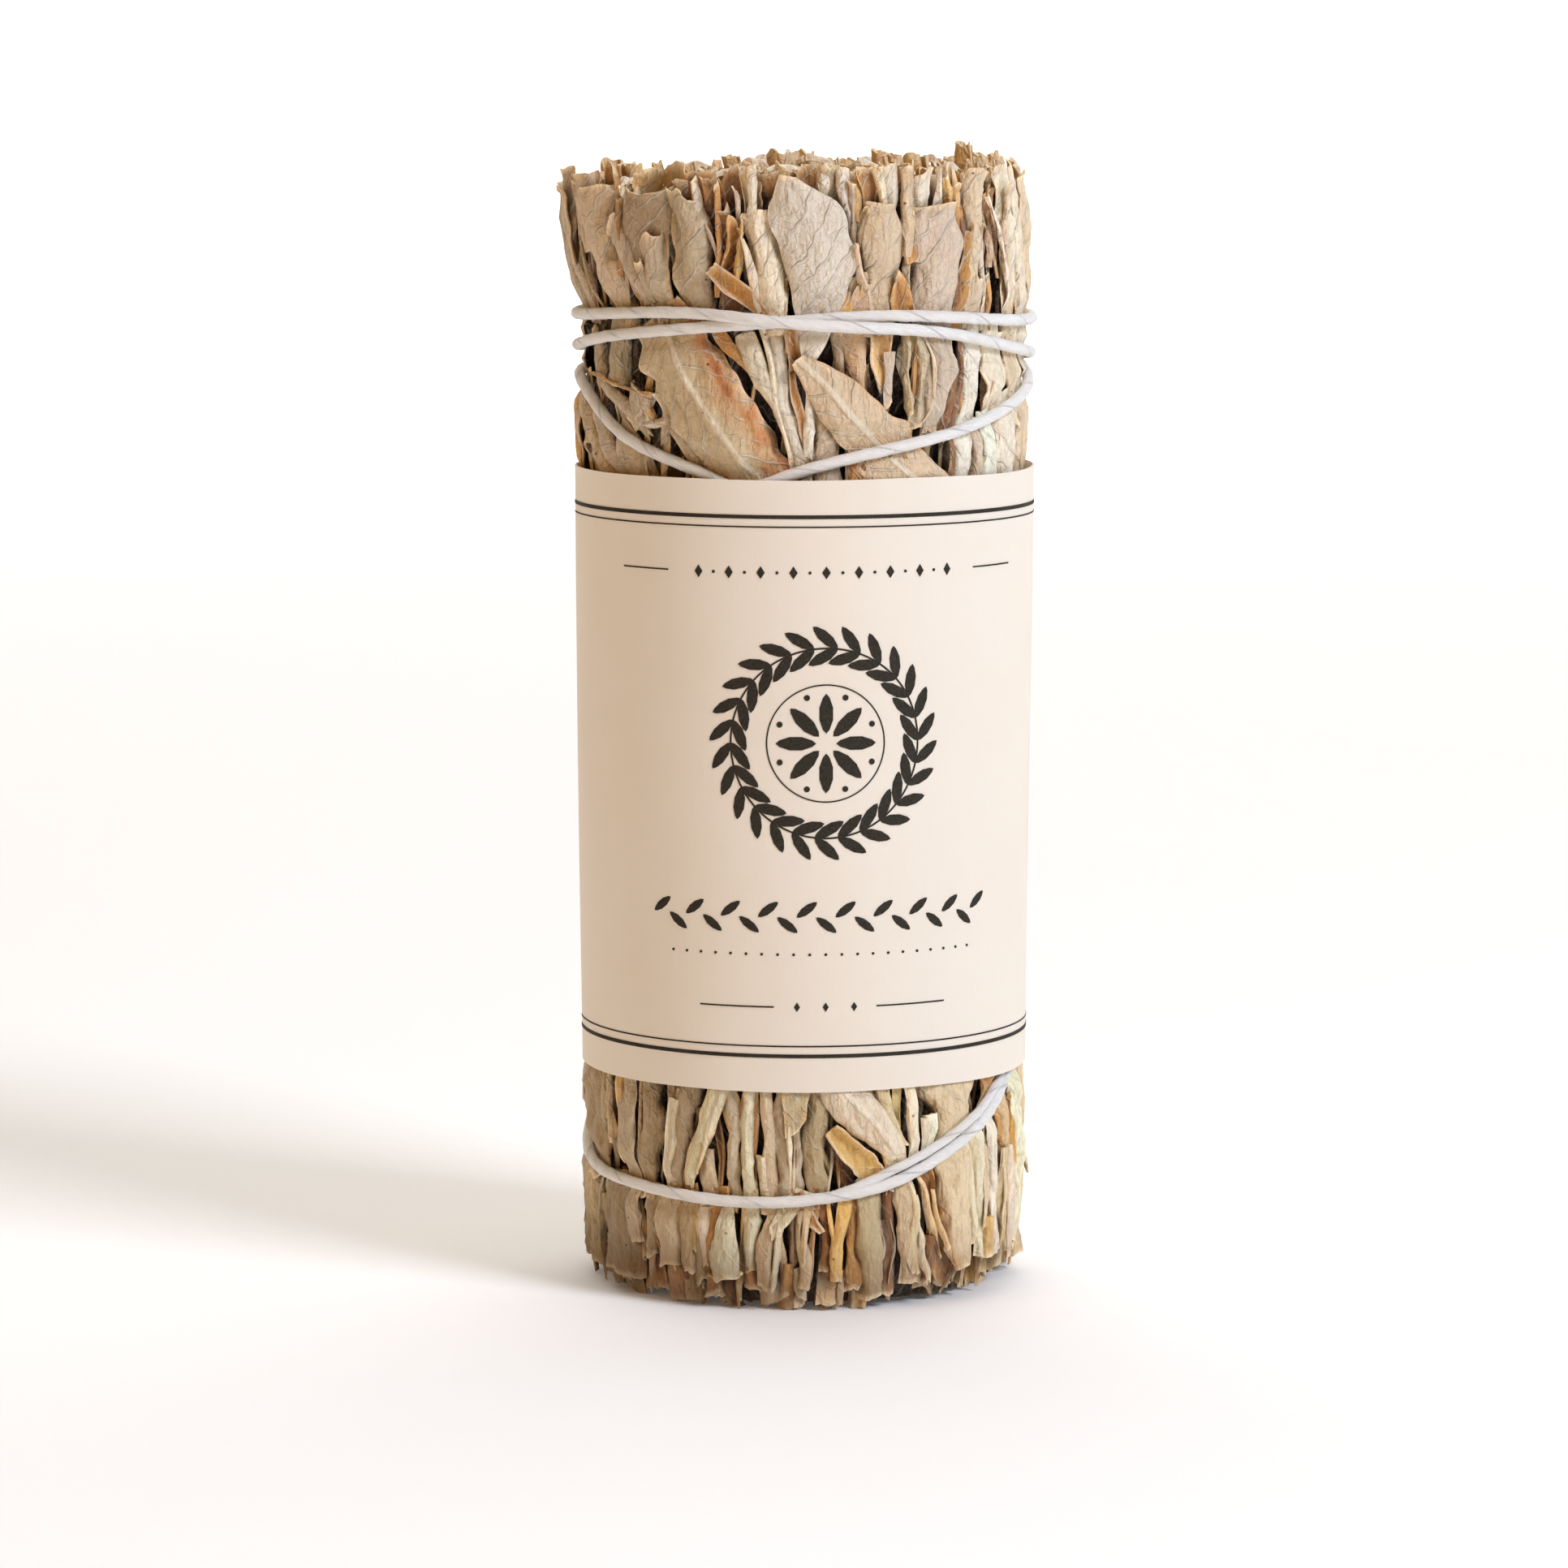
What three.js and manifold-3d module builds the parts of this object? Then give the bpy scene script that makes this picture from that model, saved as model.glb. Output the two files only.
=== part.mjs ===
// A hand-tied bundle of dried white sage: sprigs packed upright and cut flat at both ends,
// bound by one cotton thread that is knotted at the back, with a paper band glued round the
// middle. Millimetres, +Z up. The front faces -Y, and an angle is measured from the front,
// positive towards +X.
import * as THREE from "three";
import { mergeVertices } from "three/addons/utils/BufferGeometryUtils.js";
import Module from "manifold-3d";

const wasm = await Module();
wasm.setup();

// The bundle
const OUTER_SPRIGS = 12;
const MIDDLE_SPRIGS = 5;
const OUTER_RING_FROM = 13.3; // inside radius of the ring of outer sprigs
const MIDDLE_RING = [4.15, 12.5]; // radii that the middle sprigs lie between
const CENTRE_RADIUS = 3.85; // of the centre sprig's packed part
const CORE_RADIUS = 19.8; // where angles are turned into widths on the outside
const CORE_ENDS = [3.6, 96.4]; // heights between which the leaves are packed solid
const GAP = 0.3; // air between neighbouring pieces
const TOP = 102.7; // mean height of the cut tops
const TOP_SLOPE = 1.0; // the tops are this much higher on the right than the mean
const STEM_RADIUS = 1.6;
const LEAVES_PER_SPRIG = 3; // side by side on the outside of an outer sprig
const SEAM_WANDER = 2.6; // degrees that the seam between two outer sprigs strays

// A dried leaf
const LEAF = 0.7; // thickness of a folded blade
const RAGGED = 1.5; // how far a torn edge wanders up and down
const VALLEY = 1.7; // depth of the fold between two leaves
const SUNK = 1.6; // how deep the root of an overlying leaf lies
const PINCH_REACH = 2.1; // a leaf is back at its free radius this far above the thread

// The thread
const THREAD = 0.68; // radius
const THREAD_SIDES = 5;
const THREAD_STEP = 6.5; // length of one straight piece of the wound thread
const TAIL = 8; // length of the two loose ends
const KNOT = [180, 88.0]; // angle and height
const KNOT_RADIUS = 1.35;
const KNOT_OUT = 22; // the knot's distance from the axis

// The paper band
const BAND_Z = [20.4, 75.9];
const BAND_RADII = [20.8, 21.3]; // outside, at the lower and the upper edge
const PAPER = 0.4;
const BAND_FACETS = 48;
const GLUED_FLAP = [166, 186]; // angles that the flap spans
const UNDER_BAND = [23.5, 72.6]; // heights between which the leaves lie deep under the band

const radians = THREE.MathUtils.degToRad;
const mix = THREE.MathUtils.lerp;
const smooth = THREE.MathUtils.smoothstep;

// A point from its angle in degrees, its distance from the axis and its height.
function polar(angle, radius, z) {
  return new THREE.Vector3(radius * Math.sin(radians(angle)), -radius * Math.cos(radians(angle)), z);
}

// Random numbers from 0 to 1, the same on every run.
function seeded(seed) {
  let state = seed;
  return () => {
    state = (Math.imul(state, 1664525) + 1013904223) >>> 0;
    return state / 4294967296;
  };
}

// A value read off a list of [place, value] pairs by straight lines.
function along(pairs, place) {
  const next = pairs.findIndex(([at]) => at > place);
  if (next < 0) return pairs.at(-1)[1];
  if (next === 0) return pairs[0][1];
  const [[from, low], [to, high]] = [pairs[next - 1], pairs[next]];
  return mix(low, high, (place - from) / (to - from));
}

// ---------------------------------------------------------------- solids

const WELD = 0.002; // points this close are one point

function solidOf(geometry, weld = WELD / 20) {
  geometry.deleteAttribute("normal");
  geometry.deleteAttribute("uv");
  const merged = mergeVertices(geometry, weld);
  const triVerts = new Uint32Array(merged.index.array);
  const vertProperties = merged.attributes.position.array;
  const make = () => new wasm.Manifold(new wasm.Mesh({ numProp: 3, vertProperties, triVerts }));
  const solid = make();
  if (solid.volume() > 0) return solid;
  for (let i = 0; i < triVerts.length; i += 3) {
    [triVerts[i + 1], triVerts[i + 2]] = [triVerts[i + 2], triVerts[i + 1]];
  }
  return make();
}

function joined(solids) {
  return solids.reduce((whole, solid) => whole.add(solid));
}

function geometryOf(solid) {
  const mesh = solid.getMesh();
  const geometry = new THREE.BufferGeometry();
  geometry.setAttribute("position", new THREE.BufferAttribute(mesh.vertProperties, 3));
  geometry.setIndex(new THREE.BufferAttribute(mesh.triVerts, 1));
  return geometry;
}

// The largest body of a solid: cutting can leave crumbs of leaf, which fall off. Points
// closer than the weld are made one first, so that no sliver is left behind.
function largestBody(solid) {
  const welded = solidOf(geometryOf(solid), WELD);
  return welded.decompose().reduce((best, body) => (body.volume() > best.volume() ? body : best));
}

// A closed sheet from a grid of points: place(row, column, side) gives the outer face for
// side 0 and the inner face for side 1, and both faces are split into triangles alike.
function sheetSolid(rows, columns, place) {
  const positions = [];
  const index = [];
  const at = (row, column, side) => (side * rows + row) * columns + column;
  const quad = (a, b, c, d) => index.push(a, b, c, a, c, d);
  for (const side of [0, 1]) {
    for (let row = 0; row < rows; row++) {
      for (let column = 0; column < columns; column++) {
        positions.push(...place(row, column, side).toArray());
      }
    }
  }
  for (let i = 0; i < rows - 1; i++) {
    for (let j = 0; j < columns - 1; j++) {
      quad(at(i, j, 0), at(i, j + 1, 0), at(i + 1, j + 1, 0), at(i + 1, j, 0));
      quad(at(i, j, 1), at(i + 1, j, 1), at(i + 1, j + 1, 1), at(i, j + 1, 1));
    }
  }
  const [top, right] = [rows - 1, columns - 1];
  for (let j = 0; j < right; j++) {
    quad(at(0, j, 1), at(0, j + 1, 1), at(0, j + 1, 0), at(0, j, 0));
    quad(at(top, j, 0), at(top, j + 1, 0), at(top, j + 1, 1), at(top, j, 1));
  }
  for (let i = 0; i < top; i++) {
    quad(at(i, 0, 0), at(i + 1, 0, 0), at(i + 1, 0, 1), at(i, 0, 1));
    quad(at(i, right, 0), at(i, right, 1), at(i + 1, right, 1), at(i + 1, right, 0));
  }
  const geometry = new THREE.BufferGeometry();
  geometry.setAttribute("position", new THREE.Float32BufferAttribute(positions, 3));
  geometry.setIndex(index);
  return solidOf(geometry);
}

const centreOf = (points) =>
  points.reduce((sum, p) => sum.add(p), new THREE.Vector3()).divideScalar(points.length);

// A closed skin over rings of points. The first and the last ring are closed by fans, whose
// hubs see every point of the ring.
function loftSolid(rings, hub = centreOf) {
  const sides = rings[0].length;
  const points = [...rings.flat(), hub(rings[0]), hub(rings.at(-1))];
  const [first, last] = [points.length - 2, points.length - 1];
  const index = [];
  for (let j = 0; j < sides; j++) {
    const next = (j + 1) % sides;
    for (let i = 0; i < rings.length - 1; i++) {
      const [low, high] = [i * sides, (i + 1) * sides];
      index.push(low + j, low + next, high + next, low + j, high + next, high + j);
    }
    index.push(first, next, j);
    index.push(last, last - 1 - sides + j, last - 1 - sides + next);
  }
  const geometry = new THREE.BufferGeometry();
  const positions = points.flatMap((p) => p.toArray());
  geometry.setAttribute("position", new THREE.Float32BufferAttribute(positions, 3));
  geometry.setIndex(index);
  return solidOf(geometry);
}

// ---------------------------------------------------------------- the thread's route

// Angle and height of the wound thread from knot to knot: two crossing turns near the top,
// down under the band, one low turn, and up under the band again.
const ROUTE = [
  [-177, 87.8],
  [-130, 86.7],
  [-88, 87.0],
  [-53, 88.5],
  [-10, 89.9],
  [22, 90.5],
  [76, 89.5],
  [180, 90.6],
  [272, 89.9],
  [331, 90.7],
  [362, 89.8],
  [393, 89.0],
  [433, 86.8],
  [540, 84.6],
  [600, 84.7],
  [640, 83.7],
  [669, 79.0],
  [695, 75.9],
  [720, 71.5],
  [840, 47],
  [930, 24],
  [992, 12.5],
  [1034, 10.6],
  [1078, 10.3],
  [1103, 12.2],
  [1146, 18.8],
  [1180, 25],
  [1290, 47],
  [1400, 70],
  [1434, 76.0],
  [1487, 80.3],
  [1520, 83.1],
  [1570, 86.6],
  [1617, 88.3],
];

// Distance of the thread's centre from the axis: it bites into the leaves, and lies flatter
// where the band presses on it.
const THREAD_RADIUS = [
  [9, 20.25],
  [16.5, 20.2],
  [19.8, 19.4],
  [73, 19.8],
  [76.4, 19.9],
  [79.5, 20.5],
  [85, 20.75],
  [88, 21.0],
];
const CROSSING = [361, 30, 1.2]; // place on the route, half width and rise where it crosses itself
const JOINTS = [-177, 181, 845, 1617]; // the route is skinned in these stretches
const TURNS = [0, 1, 2, 3, 4];

const routeCurve = new THREE.CatmullRomCurve3(
  ROUTE.map(([angle, z]) => new THREE.Vector3(angle, z, 0)),
);
const routeSamples = routeCurve.getPoints(600).map((p) => [p.x, p.y]);

function threadPoint(turned) {
  const bow = THREAD_STEP ** 2 / (16 * BAND_RADII[1]); // half the sag of a straight piece
  const z = along(routeSamples, turned);
  const [middle, half, rise] = CROSSING;
  const over = rise * (1 - smooth(Math.abs(turned - middle), half * 0.35, half));
  return polar(turned, along(THREAD_RADIUS, z) + over + bow, z);
}

// ---------------------------------------------------------------- the outside of the bundle

// Radius of the leaves' backs by height: they flare above the upper turns, are pressed in
// under the band, and their foot is rounded.
const PROFILE = [
  [0, 19.7],
  [3, 20.3],
  [10, 20.6],
  [21, 20.0],
  [23.5, 18.4],
  [72.6, 18.4],
  [75.2, 20.2],
  [77, 20.55],
  [84, 21.0],
  [91, 21.0],
  [97, 21.6],
  [105, 21.5],
];
const BENDS = [CORE_ENDS[0], ...UNDER_BAND, CORE_ENDS[1]]; // heights where seams may turn
const BITE = THREAD + GAP + 0.15; // the leaves lie this far inside the thread's centre

const freeRadius = (z) => along(PROFILE, z);
const pressedRadius = (z) => Math.min(along(THREAD_RADIUS, z) - BITE, freeRadius(z));
const cutTop = (angle) => TOP + TOP_SLOPE * Math.sin(radians(angle));
const unwound = (angle) => ((((angle + 180) % 360) + 360) % 360) - 180;

// Leaves pass under the band clear of it.
function bandLimit(z) {
  const within = z > BAND_Z[0] - 1 && z < BAND_Z[1] + 1;
  const inside = mix(BAND_RADII[0], BAND_RADII[1], (z - BAND_Z[0]) / (BAND_Z[1] - BAND_Z[0])) - PAPER;
  return within ? inside - GAP - 0.1 : 30;
}

// Height of the route's given turn at an angle near a middle one.
function passHeight(turn, middle, angle) {
  const place = unwound(middle) + (angle - middle) + 360 * turn;
  return place < JOINTS[0] || place > JOINTS.at(-1) ? null : along(routeSamples, place);
}

const underThread = (angle, z) =>
  TURNS.some((turn) => Math.abs((passHeight(turn, angle, angle) ?? 200) - z) < 0.8 * PINCH_REACH);

// The thread's passes over a piece of the outside that reaches a few degrees either way.
function passesNear(middle, reach) {
  const seen = (z) => z !== null && (z < UNDER_BAND[0] || z > UNDER_BAND[1]);
  return TURNS.filter((turn) =>
    [-reach, 0, reach].some((off) => seen(passHeight(turn, middle, middle + off))),
  );
}

// Rows of a surface under the thread. Each is a height by angle, and says whether the
// thread presses it in. Passes close to each other share one waist.
function surfaceRows(middle, reach, low, high, fixed) {
  const height = (turn, angle) => {
    const z = passHeight(turn, middle, angle);
    return z === null ? passHeight(turn, middle, middle) ?? KNOT[1] : z;
  };
  const passes = passesNear(middle, reach).filter((turn) => {
    const z = height(turn, middle);
    return z > low - 1 && z < high + 1;
  });
  passes.sort((a, b) => height(a, middle) - height(b, middle));
  const waists = [];
  for (const turn of passes) {
    const last = waists.at(-1);
    const near = last && height(turn, middle) - height(last.at(-1), middle) < 2.1 * PINCH_REACH;
    if (near) last.push(turn);
    else waists.push([turn]);
  }
  const rows = fixed.map((z) => ({ z: () => z, pressed: false, fixed: true }));
  for (const waist of waists) {
    const lowest = (angle) => Math.min(...waist.map((turn) => height(turn, angle)));
    const highest = (angle) => Math.max(...waist.map((turn) => height(turn, angle)));
    rows.push({ z: (angle) => lowest(angle) - PINCH_REACH, pressed: false });
    rows.push({ z: lowest, pressed: true });
    if (waist.length > 1) rows.push({ z: highest, pressed: true });
    rows.push({ z: (angle) => highest(angle) + PINCH_REACH, pressed: false });
  }
  rows.sort((a, b) => a.z(middle) - b.z(middle));
  return rows.filter(({ z, pressed, fixed: kept }, k) => {
    if (pressed || kept) return true;
    const others = rows.filter((row, n) => n !== k && (row.pressed || row.fixed));
    const clear = others.every((row) => Math.abs(row.z(middle) - z(middle)) > 0.7);
    return clear && z(middle) > low && z(middle) < high;
  });
}

// Heights of the rows at one angle, kept in order from the bottom up.
function heightsAt(rows, angle) {
  const heights = rows.map(({ z }) => z(angle));
  for (let k = rows.length - 2; k > 0; k--) {
    if (!rows[k].fixed) heights[k] = Math.min(heights[k], heights[k + 1] - 0.3);
  }
  for (let k = 1; k < rows.length - 1; k++) {
    if (!rows[k].fixed) heights[k] = Math.max(heights[k], heights[k - 1] + 0.3);
  }
  return heights;
}

// The seam between two outer sprigs, an angle by height.
const OUTER_STEP = 360 / OUTER_SPRIGS;
const seams = Array.from({ length: OUTER_SPRIGS }, (_, number) => {
  const draw = seeded(40 + number);
  const start = (number - 0.5) * OUTER_STEP;
  const turns = BENDS.map((z) => [z, start + SEAM_WANDER * (2 * draw() - 1)]);
  return (z) => along(turns, z);
});
const leftSeam = (number) => seams[number];
const rightSeam = (number) => (z) =>
  seams[(number + 1) % OUTER_SPRIGS](z) + (number + 1 === OUTER_SPRIGS ? 360 : 0);

// The leaves side by side on a sprig: how wide each one is, as shares of the sprig, and how
// far its two shoulders stand out, at the foot and at the top.
function leafStrips(number) {
  const draw = seeded(70 + number);
  const count = LEAVES_PER_SPRIG;
  const borders = [];
  for (let k = 1; k < count; k++) {
    borders.push(BENDS.map((z) => [z, (k + 0.34 * (2 * draw() - 1)) / count]));
  }
  const shoulders = Array.from({ length: count }, () =>
    [0, 1].map(() => [
      [30, 0.9 * (draw() - 0.5)],
      [70, 0.9 * (draw() - 0.5)],
    ]),
  );
  return { count, borders, shoulders };
}

// The packed leaves of an outer sprig, as one skin over rows of folds and shoulders.
function packedLeaves(number) {
  const middle = number * OUTER_STEP;
  const [left, right] = [leftSeam(number), rightSeam(number)];
  const { count, borders, shoulders } = leafStrips(number);
  const fixed = [CORE_ENDS[0], 21, ...UNDER_BAND, 75.2, CORE_ENDS[1]];
  const rows = surfaceRows(middle, 17, CORE_ENDS[0], CORE_ENDS[1], fixed);
  const spots = [];
  const border = (k, z) => (k === 0 ? 0 : k === count ? 1 : along(borders[k - 1], z));
  for (let k = 0; k < count; k++) {
    spots.push({ share: (z) => border(k, z), out: () => -VALLEY });
    for (const [n, part] of [0.27, 0.73].entries()) {
      spots.push({
        share: (z) => mix(border(k, z), border(k + 1, z), part),
        out: (z) => along(shoulders[k][n], z) - (n ? 0 : 0.2),
      });
    }
  }
  spots.push({ share: () => 1, out: () => -VALLEY });
  const offset = { 0: 1, [spots.length - 1]: -1 };
  const rings = rows.map((row, level) => {
    const ring = spots.map(({ share, out }, k) => {
      let z = row.z(middle);
      let angle = middle;
      for (let pass = 0; pass < 3; pass++) {
        angle = mix(left(z), right(z), share(z));
        z = heightsAt(rows, angle)[level];
      }
      const free = Math.min(freeRadius(z) + out(z), bandLimit(z));
      const radius = row.pressed || underThread(angle, z) ? Math.min(pressedRadius(z), free) : free;
      const shift = polar(angle + 90, (offset[k] ?? 0) * (GAP / 2), 0);
      return polar(angle, radius, z).add(shift);
    });
    const mean = ring.reduce((sum, p) => sum + p.z, 0) / ring.length;
    for (const [angle, side] of [[right(mean), -1], [left(mean), 1]]) {
      ring.push(polar(angle, OUTER_RING_FROM, mean).add(polar(angle + 90, (side * GAP) / 2, 0)));
    }
    return ring;
  });
  const nearInside = (ring) => {
    const [inner, corners] = [ring.slice(-2), [ring[0], ...ring.slice(-3)]];
    return centreOf(inner).lerp(centreOf(corners), 0.5);
  };
  return loftSolid(rings, nearInside);
}

// ---------------------------------------------------------------- single leaves

// Heights of the rows of an overlying leaf, from its root to its end. Its middle gets a row
// of its own when there is none near.
function leafRows({ root, end }) {
  const [low, high] = [Math.min(root[1], end[1]), Math.max(root[1], end[1])];
  const middle = (root[0] + end[0]) / 2;
  const reach = Math.abs(end[0] - root[0]) / 2;
  const inside = (z) => z > low + 1 && z < high - 1;
  const bandEdges = [BAND_Z[0] - 0.4, BAND_Z[1] + 0.4].filter(inside);
  const rows = surfaceRows(middle, reach, low + 1, high - 1, [low, ...bandEdges, high]);
  const placed = rows.map((row) => {
    let z = row.z(middle);
    for (let pass = 0; pass < 4; pass++) {
      z = row.z(mix(root[0], end[0], (z - root[1]) / (end[1] - root[1])));
    }
    return { z, pressed: row.pressed };
  });
  const kept = placed.filter(({ z }, k) => {
    const apart = k === 0 || z - placed[k - 1].z > 0.6;
    return z === low || z === high || (inside(z) && apart);
  });
  kept.sort((a, b) => a.z - b.z);
  const bare = kept.findIndex(({ z }, k) => k > 0 && z - kept[k - 1].z > 0.42 * (high - low));
  if (bare > 0) kept.splice(bare, 0, { z: (kept[bare].z + kept[bare - 1].z) / 2, pressed: false });
  return root[1] > end[1] ? kept.reverse() : kept;
}

// A broad leaf that lies over the others. It runs from its root, which is sunk, to its end,
// both as [angle, height], and is bent round its length: bend is half the angle that its
// section turns through. With grow it gives the room that the leaf needs.
function overLeaf(leaf, grow = 0) {
  const { root, end, width, bend } = leaf;
  const lift = 0.5;
  const columns = 3;
  const draw = seeded(Math.round(root[0] + end[0] + 900));
  const rim = Array.from({ length: columns }, () => RAGGED * (draw() - 0.5));
  const rows = leafRows(leaf);
  const upward = Math.sign(end[1] - root[1]);
  const run = radians(end[0] - root[0]) * CORE_RADIUS;
  const slope = new THREE.Vector2(run, end[1] - root[1]).normalize();
  return sheetSolid(rows.length, columns, (row, column, side) => {
    const { z, pressed } = rows[row];
    const share = (z - root[1]) / (end[1] - root[1]);
    const wide = along(width, share) / 2;
    const half = wide / Math.sin(bend);
    const arc = side === 0 ? half + grow : half - LEAF - grow;
    const turn = bend * (1 + grow / wide) * (column - 1);
    const across = half * Math.sin(turn);
    const torn = row === rows.length - 1 ? rim[column] + upward * grow : 0;
    const height = Math.max(z - across * slope.x * upward + torn, grow ? -1 : 0);
    const off = THREE.MathUtils.radToDeg((across * Math.abs(slope.y)) / CORE_RADIUS);
    const free = Math.min(freeRadius(z) + (row === 0 ? -SUNK : lift), bandLimit(height));
    const out = (pressed ? pressedRadius(z) : free) - half + arc * Math.cos(turn);
    return polar(mix(root[0], end[0], share) + off, out, height);
  });
}

const OVER_LEAVES = [
  // above the upper turns
  { root: [-53.5, 91.5], end: [-61, 101.6], width: [[0, 3], [1, 6.2]], bend: 0.5 },
  { root: [-36, 91.5], end: [-33, 102.2], width: [[0, 3], [1, 5.6]], bend: 0.5 },
  { root: [1.6, 91.4], end: [1, 102.4], width: [[0, 4], [0.45, 7.2], [1, 5.2]], bend: 0.5 },
  { root: [31, 91.4], end: [34, 100.3], width: [[0, 4.6], [1, 5.6]], bend: 0.7 },
  { root: [240, 92], end: [237, 100.6], width: [[0, 3.4], [1, 5.4]], bend: 0.6 },
  // between the upper turns and the band
  { root: [-38, 86.8], end: [-11, 74.5], width: [[0, 5], [0.5, 7.4], [1, 5.6]], bend: 0.45, crosses: true },
  { root: [31, 74], end: [1.5, 86.2], width: [[0, 6.4], [0.55, 5.4], [1, 1.2]], bend: 0.5, crosses: true },
  { root: [214, 74], end: [236, 82.4], width: [[0, 5.4], [0.5, 5.6], [1, 2]], bend: 0.5, crosses: true },
  // below the band
  { root: [-57, 24], end: [-58, 5], width: [[0, 5.4], [0.5, 4.6], [1, 2.6]], bend: 0.6 },
  { root: [3, 24], end: [22, 13], width: [[0, 5.6], [0.6, 4.4], [1, 1.6]], bend: 0.6, crosses: true },
  { root: [35, 24], end: [37, 2.4], width: [[0, 4.6], [0.8, 5.2], [1, 4.2]], bend: 0.5 },
  { root: [180, 24], end: [182, 3.4], width: [[0, 4.4], [0.6, 5.4], [1, 3.4]], bend: 0.6 },
];

// A leaf end that stands up or hangs down among the others, curled round its own length.
function curl({ at, facing, radius, bend, from, to, lean }, columns, draw) {
  const rim = Array.from({ length: columns }, () => RAGGED * (draw() - 0.5));
  return sheetSolid(2, columns, (row, column, side) => {
    const arc = side === 0 ? radius : radius - LEAF;
    const turn = facing + bend * ((2 * column) / (columns - 1) - 1);
    const z = row === 0 ? from : to + rim[column];
    const shift = row === 0 ? [0, 0] : lean;
    const x = at.x + shift[0] + arc * Math.sin(turn);
    return new THREE.Vector3(x, at.y + shift[1] - arc * Math.cos(turn), Math.max(z, 0));
  });
}

// The cut ends of a sprig's inner leaves above the packed part, and below it at the spots
// that have a foot. A spot is [angle, distance from the axis, foot].
function curls(spots, seed) {
  const draw = seeded(seed);
  return spots.flatMap(([angle, distance, footed]) => {
    const facing = radians(angle) + 2.2 * (draw() - 0.5);
    const radius = 1.3 + 0.4 * draw();
    const bend = 1.0 + 0.8 * draw();
    const at = polar(angle, distance, 0);
    const lean = [0.9 * (draw() - 0.5), 0.9 * (draw() - 0.5)];
    const shape = { at, facing, radius, bend };
    const top = cutTop(angle) - 0.3 - 2.2 * draw();
    const upper = curl({ ...shape, from: CORE_ENDS[1] - 1.2, to: top, lean }, 3, draw);
    const foot = 0.4 + 1.4 * draw();
    if (!footed) return [upper];
    return [upper, curl({ ...shape, from: CORE_ENDS[0] + 1.2, to: foot, lean: [0, 0] }, 3, draw)];
  });
}

// The outermost leaves' own ends: each goes on from its strip up to the cut top, and down to
// the foot.
function rimEnds(number) {
  const draw = seeded(800 + number);
  const { count, borders } = leafStrips(number);
  const ends = [];
  for (const [z, reach] of [[CORE_ENDS[1], 1], [CORE_ENDS[0], -1]]) {
    const [left, right] = [leftSeam(number)(z), rightSeam(number)(z)];
    const share = (k) => (k === 0 ? 0.02 : k === count ? 0.98 : along(borders[k - 1], z));
    for (let k = 0; k < count; k++) {
      const from = mix(left, right, share(k));
      const to = mix(left, right, share(k + 1));
      const angle = (from + to) / 2;
      const half = (radians(to - from) * CORE_RADIUS) / 2 - 0.12;
      const bend = 0.75 + 0.35 * draw();
      const radius = half / Math.sin(bend);
      const chance = draw();
      const end = reach > 0 ? cutTop(angle) + 0.3 - 1.6 * chance : Math.max(0, 2.6 * (chance - 0.45));
      const shape = { facing: radians(angle), radius, bend, to: end, from: z - SUNK * reach };
      const at = polar(angle, freeRadius(z) - 0.35 - radius, 0);
      const lean = polar(angle, freeRadius(end) - freeRadius(z) + 0.3, 0);
      ends.push(curl({ ...shape, at, lean: [lean.x, lean.y] }, 3, draw));
    }
  }
  return ends;
}

// ---------------------------------------------------------------- the thread

function tube(curve, steps, radius, sides) {
  const section = new THREE.Shape(
    Array.from({ length: sides }, (_, k) => {
      const turn = ((k + 0.5) * 2 * Math.PI) / sides;
      return new THREE.Vector2(radius * Math.cos(turn), radius * Math.sin(turn));
    }),
  );
  return solidOf(new THREE.ExtrudeGeometry(section, { steps, extrudePath: curve }));
}

// The thread's stretches as tubes of a given radius, lapped a little at the joints.
function woundThread(radius, sides) {
  const lap = 2;
  return JOINTS.slice(1).map((to, k) => {
    const from = JOINTS[k] - (k ? lap : 0);
    const steps = Math.ceil((radians(to - from) * CORE_RADIUS) / THREAD_STEP);
    const points = Array.from({ length: steps + 1 }, (_, n) => threadPoint(mix(from, to, n / steps)));
    return tube(new THREE.CatmullRomCurve3(points), steps, radius, sides);
  });
}

function knotBall() {
  const ball = new THREE.SphereGeometry(KNOT_RADIUS, 8, 6);
  const place = polar(KNOT[0], KNOT_OUT, KNOT[1]);
  ball.scale(1.9, 0.9, 1.3);
  ball.translate(place.x, place.y, place.z);
  return solidOf(ball);
}

function threadSolid() {
  const tails = [-1, 1].map((side) => {
    const points = [0, 0.35, 0.7, 1].map((share) => {
      const drop = TAIL * share * (0.7 + 0.2 * side);
      return polar(KNOT[0] + side * (2 + 10 * share), KNOT_OUT + 0.3 * share, KNOT[1] - drop);
    });
    return tube(new THREE.CatmullRomCurve3(points), 4, THREAD, THREAD_SIDES);
  });
  return joined([...woundThread(THREAD, THREAD_SIDES), knotBall(), ...tails]);
}

// ---------------------------------------------------------------- the sprigs

// The outer sprig that an overlying leaf grows from.
const owner = ({ root, end }) => {
  const steps = Math.round(mix(root[0], end[0], 0.15) / OUTER_STEP);
  return ((steps % OUTER_SPRIGS) + OUTER_SPRIGS) % OUTER_SPRIGS;
};
const threadSpace = joined(woundThread(THREAD + GAP / 2, THREAD_SIDES));
const rooms = OVER_LEAVES.filter((leaf) => leaf.crosses).map((leaf) => ({
  sprig: owner(leaf),
  room: overLeaf(leaf, GAP),
}));

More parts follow.
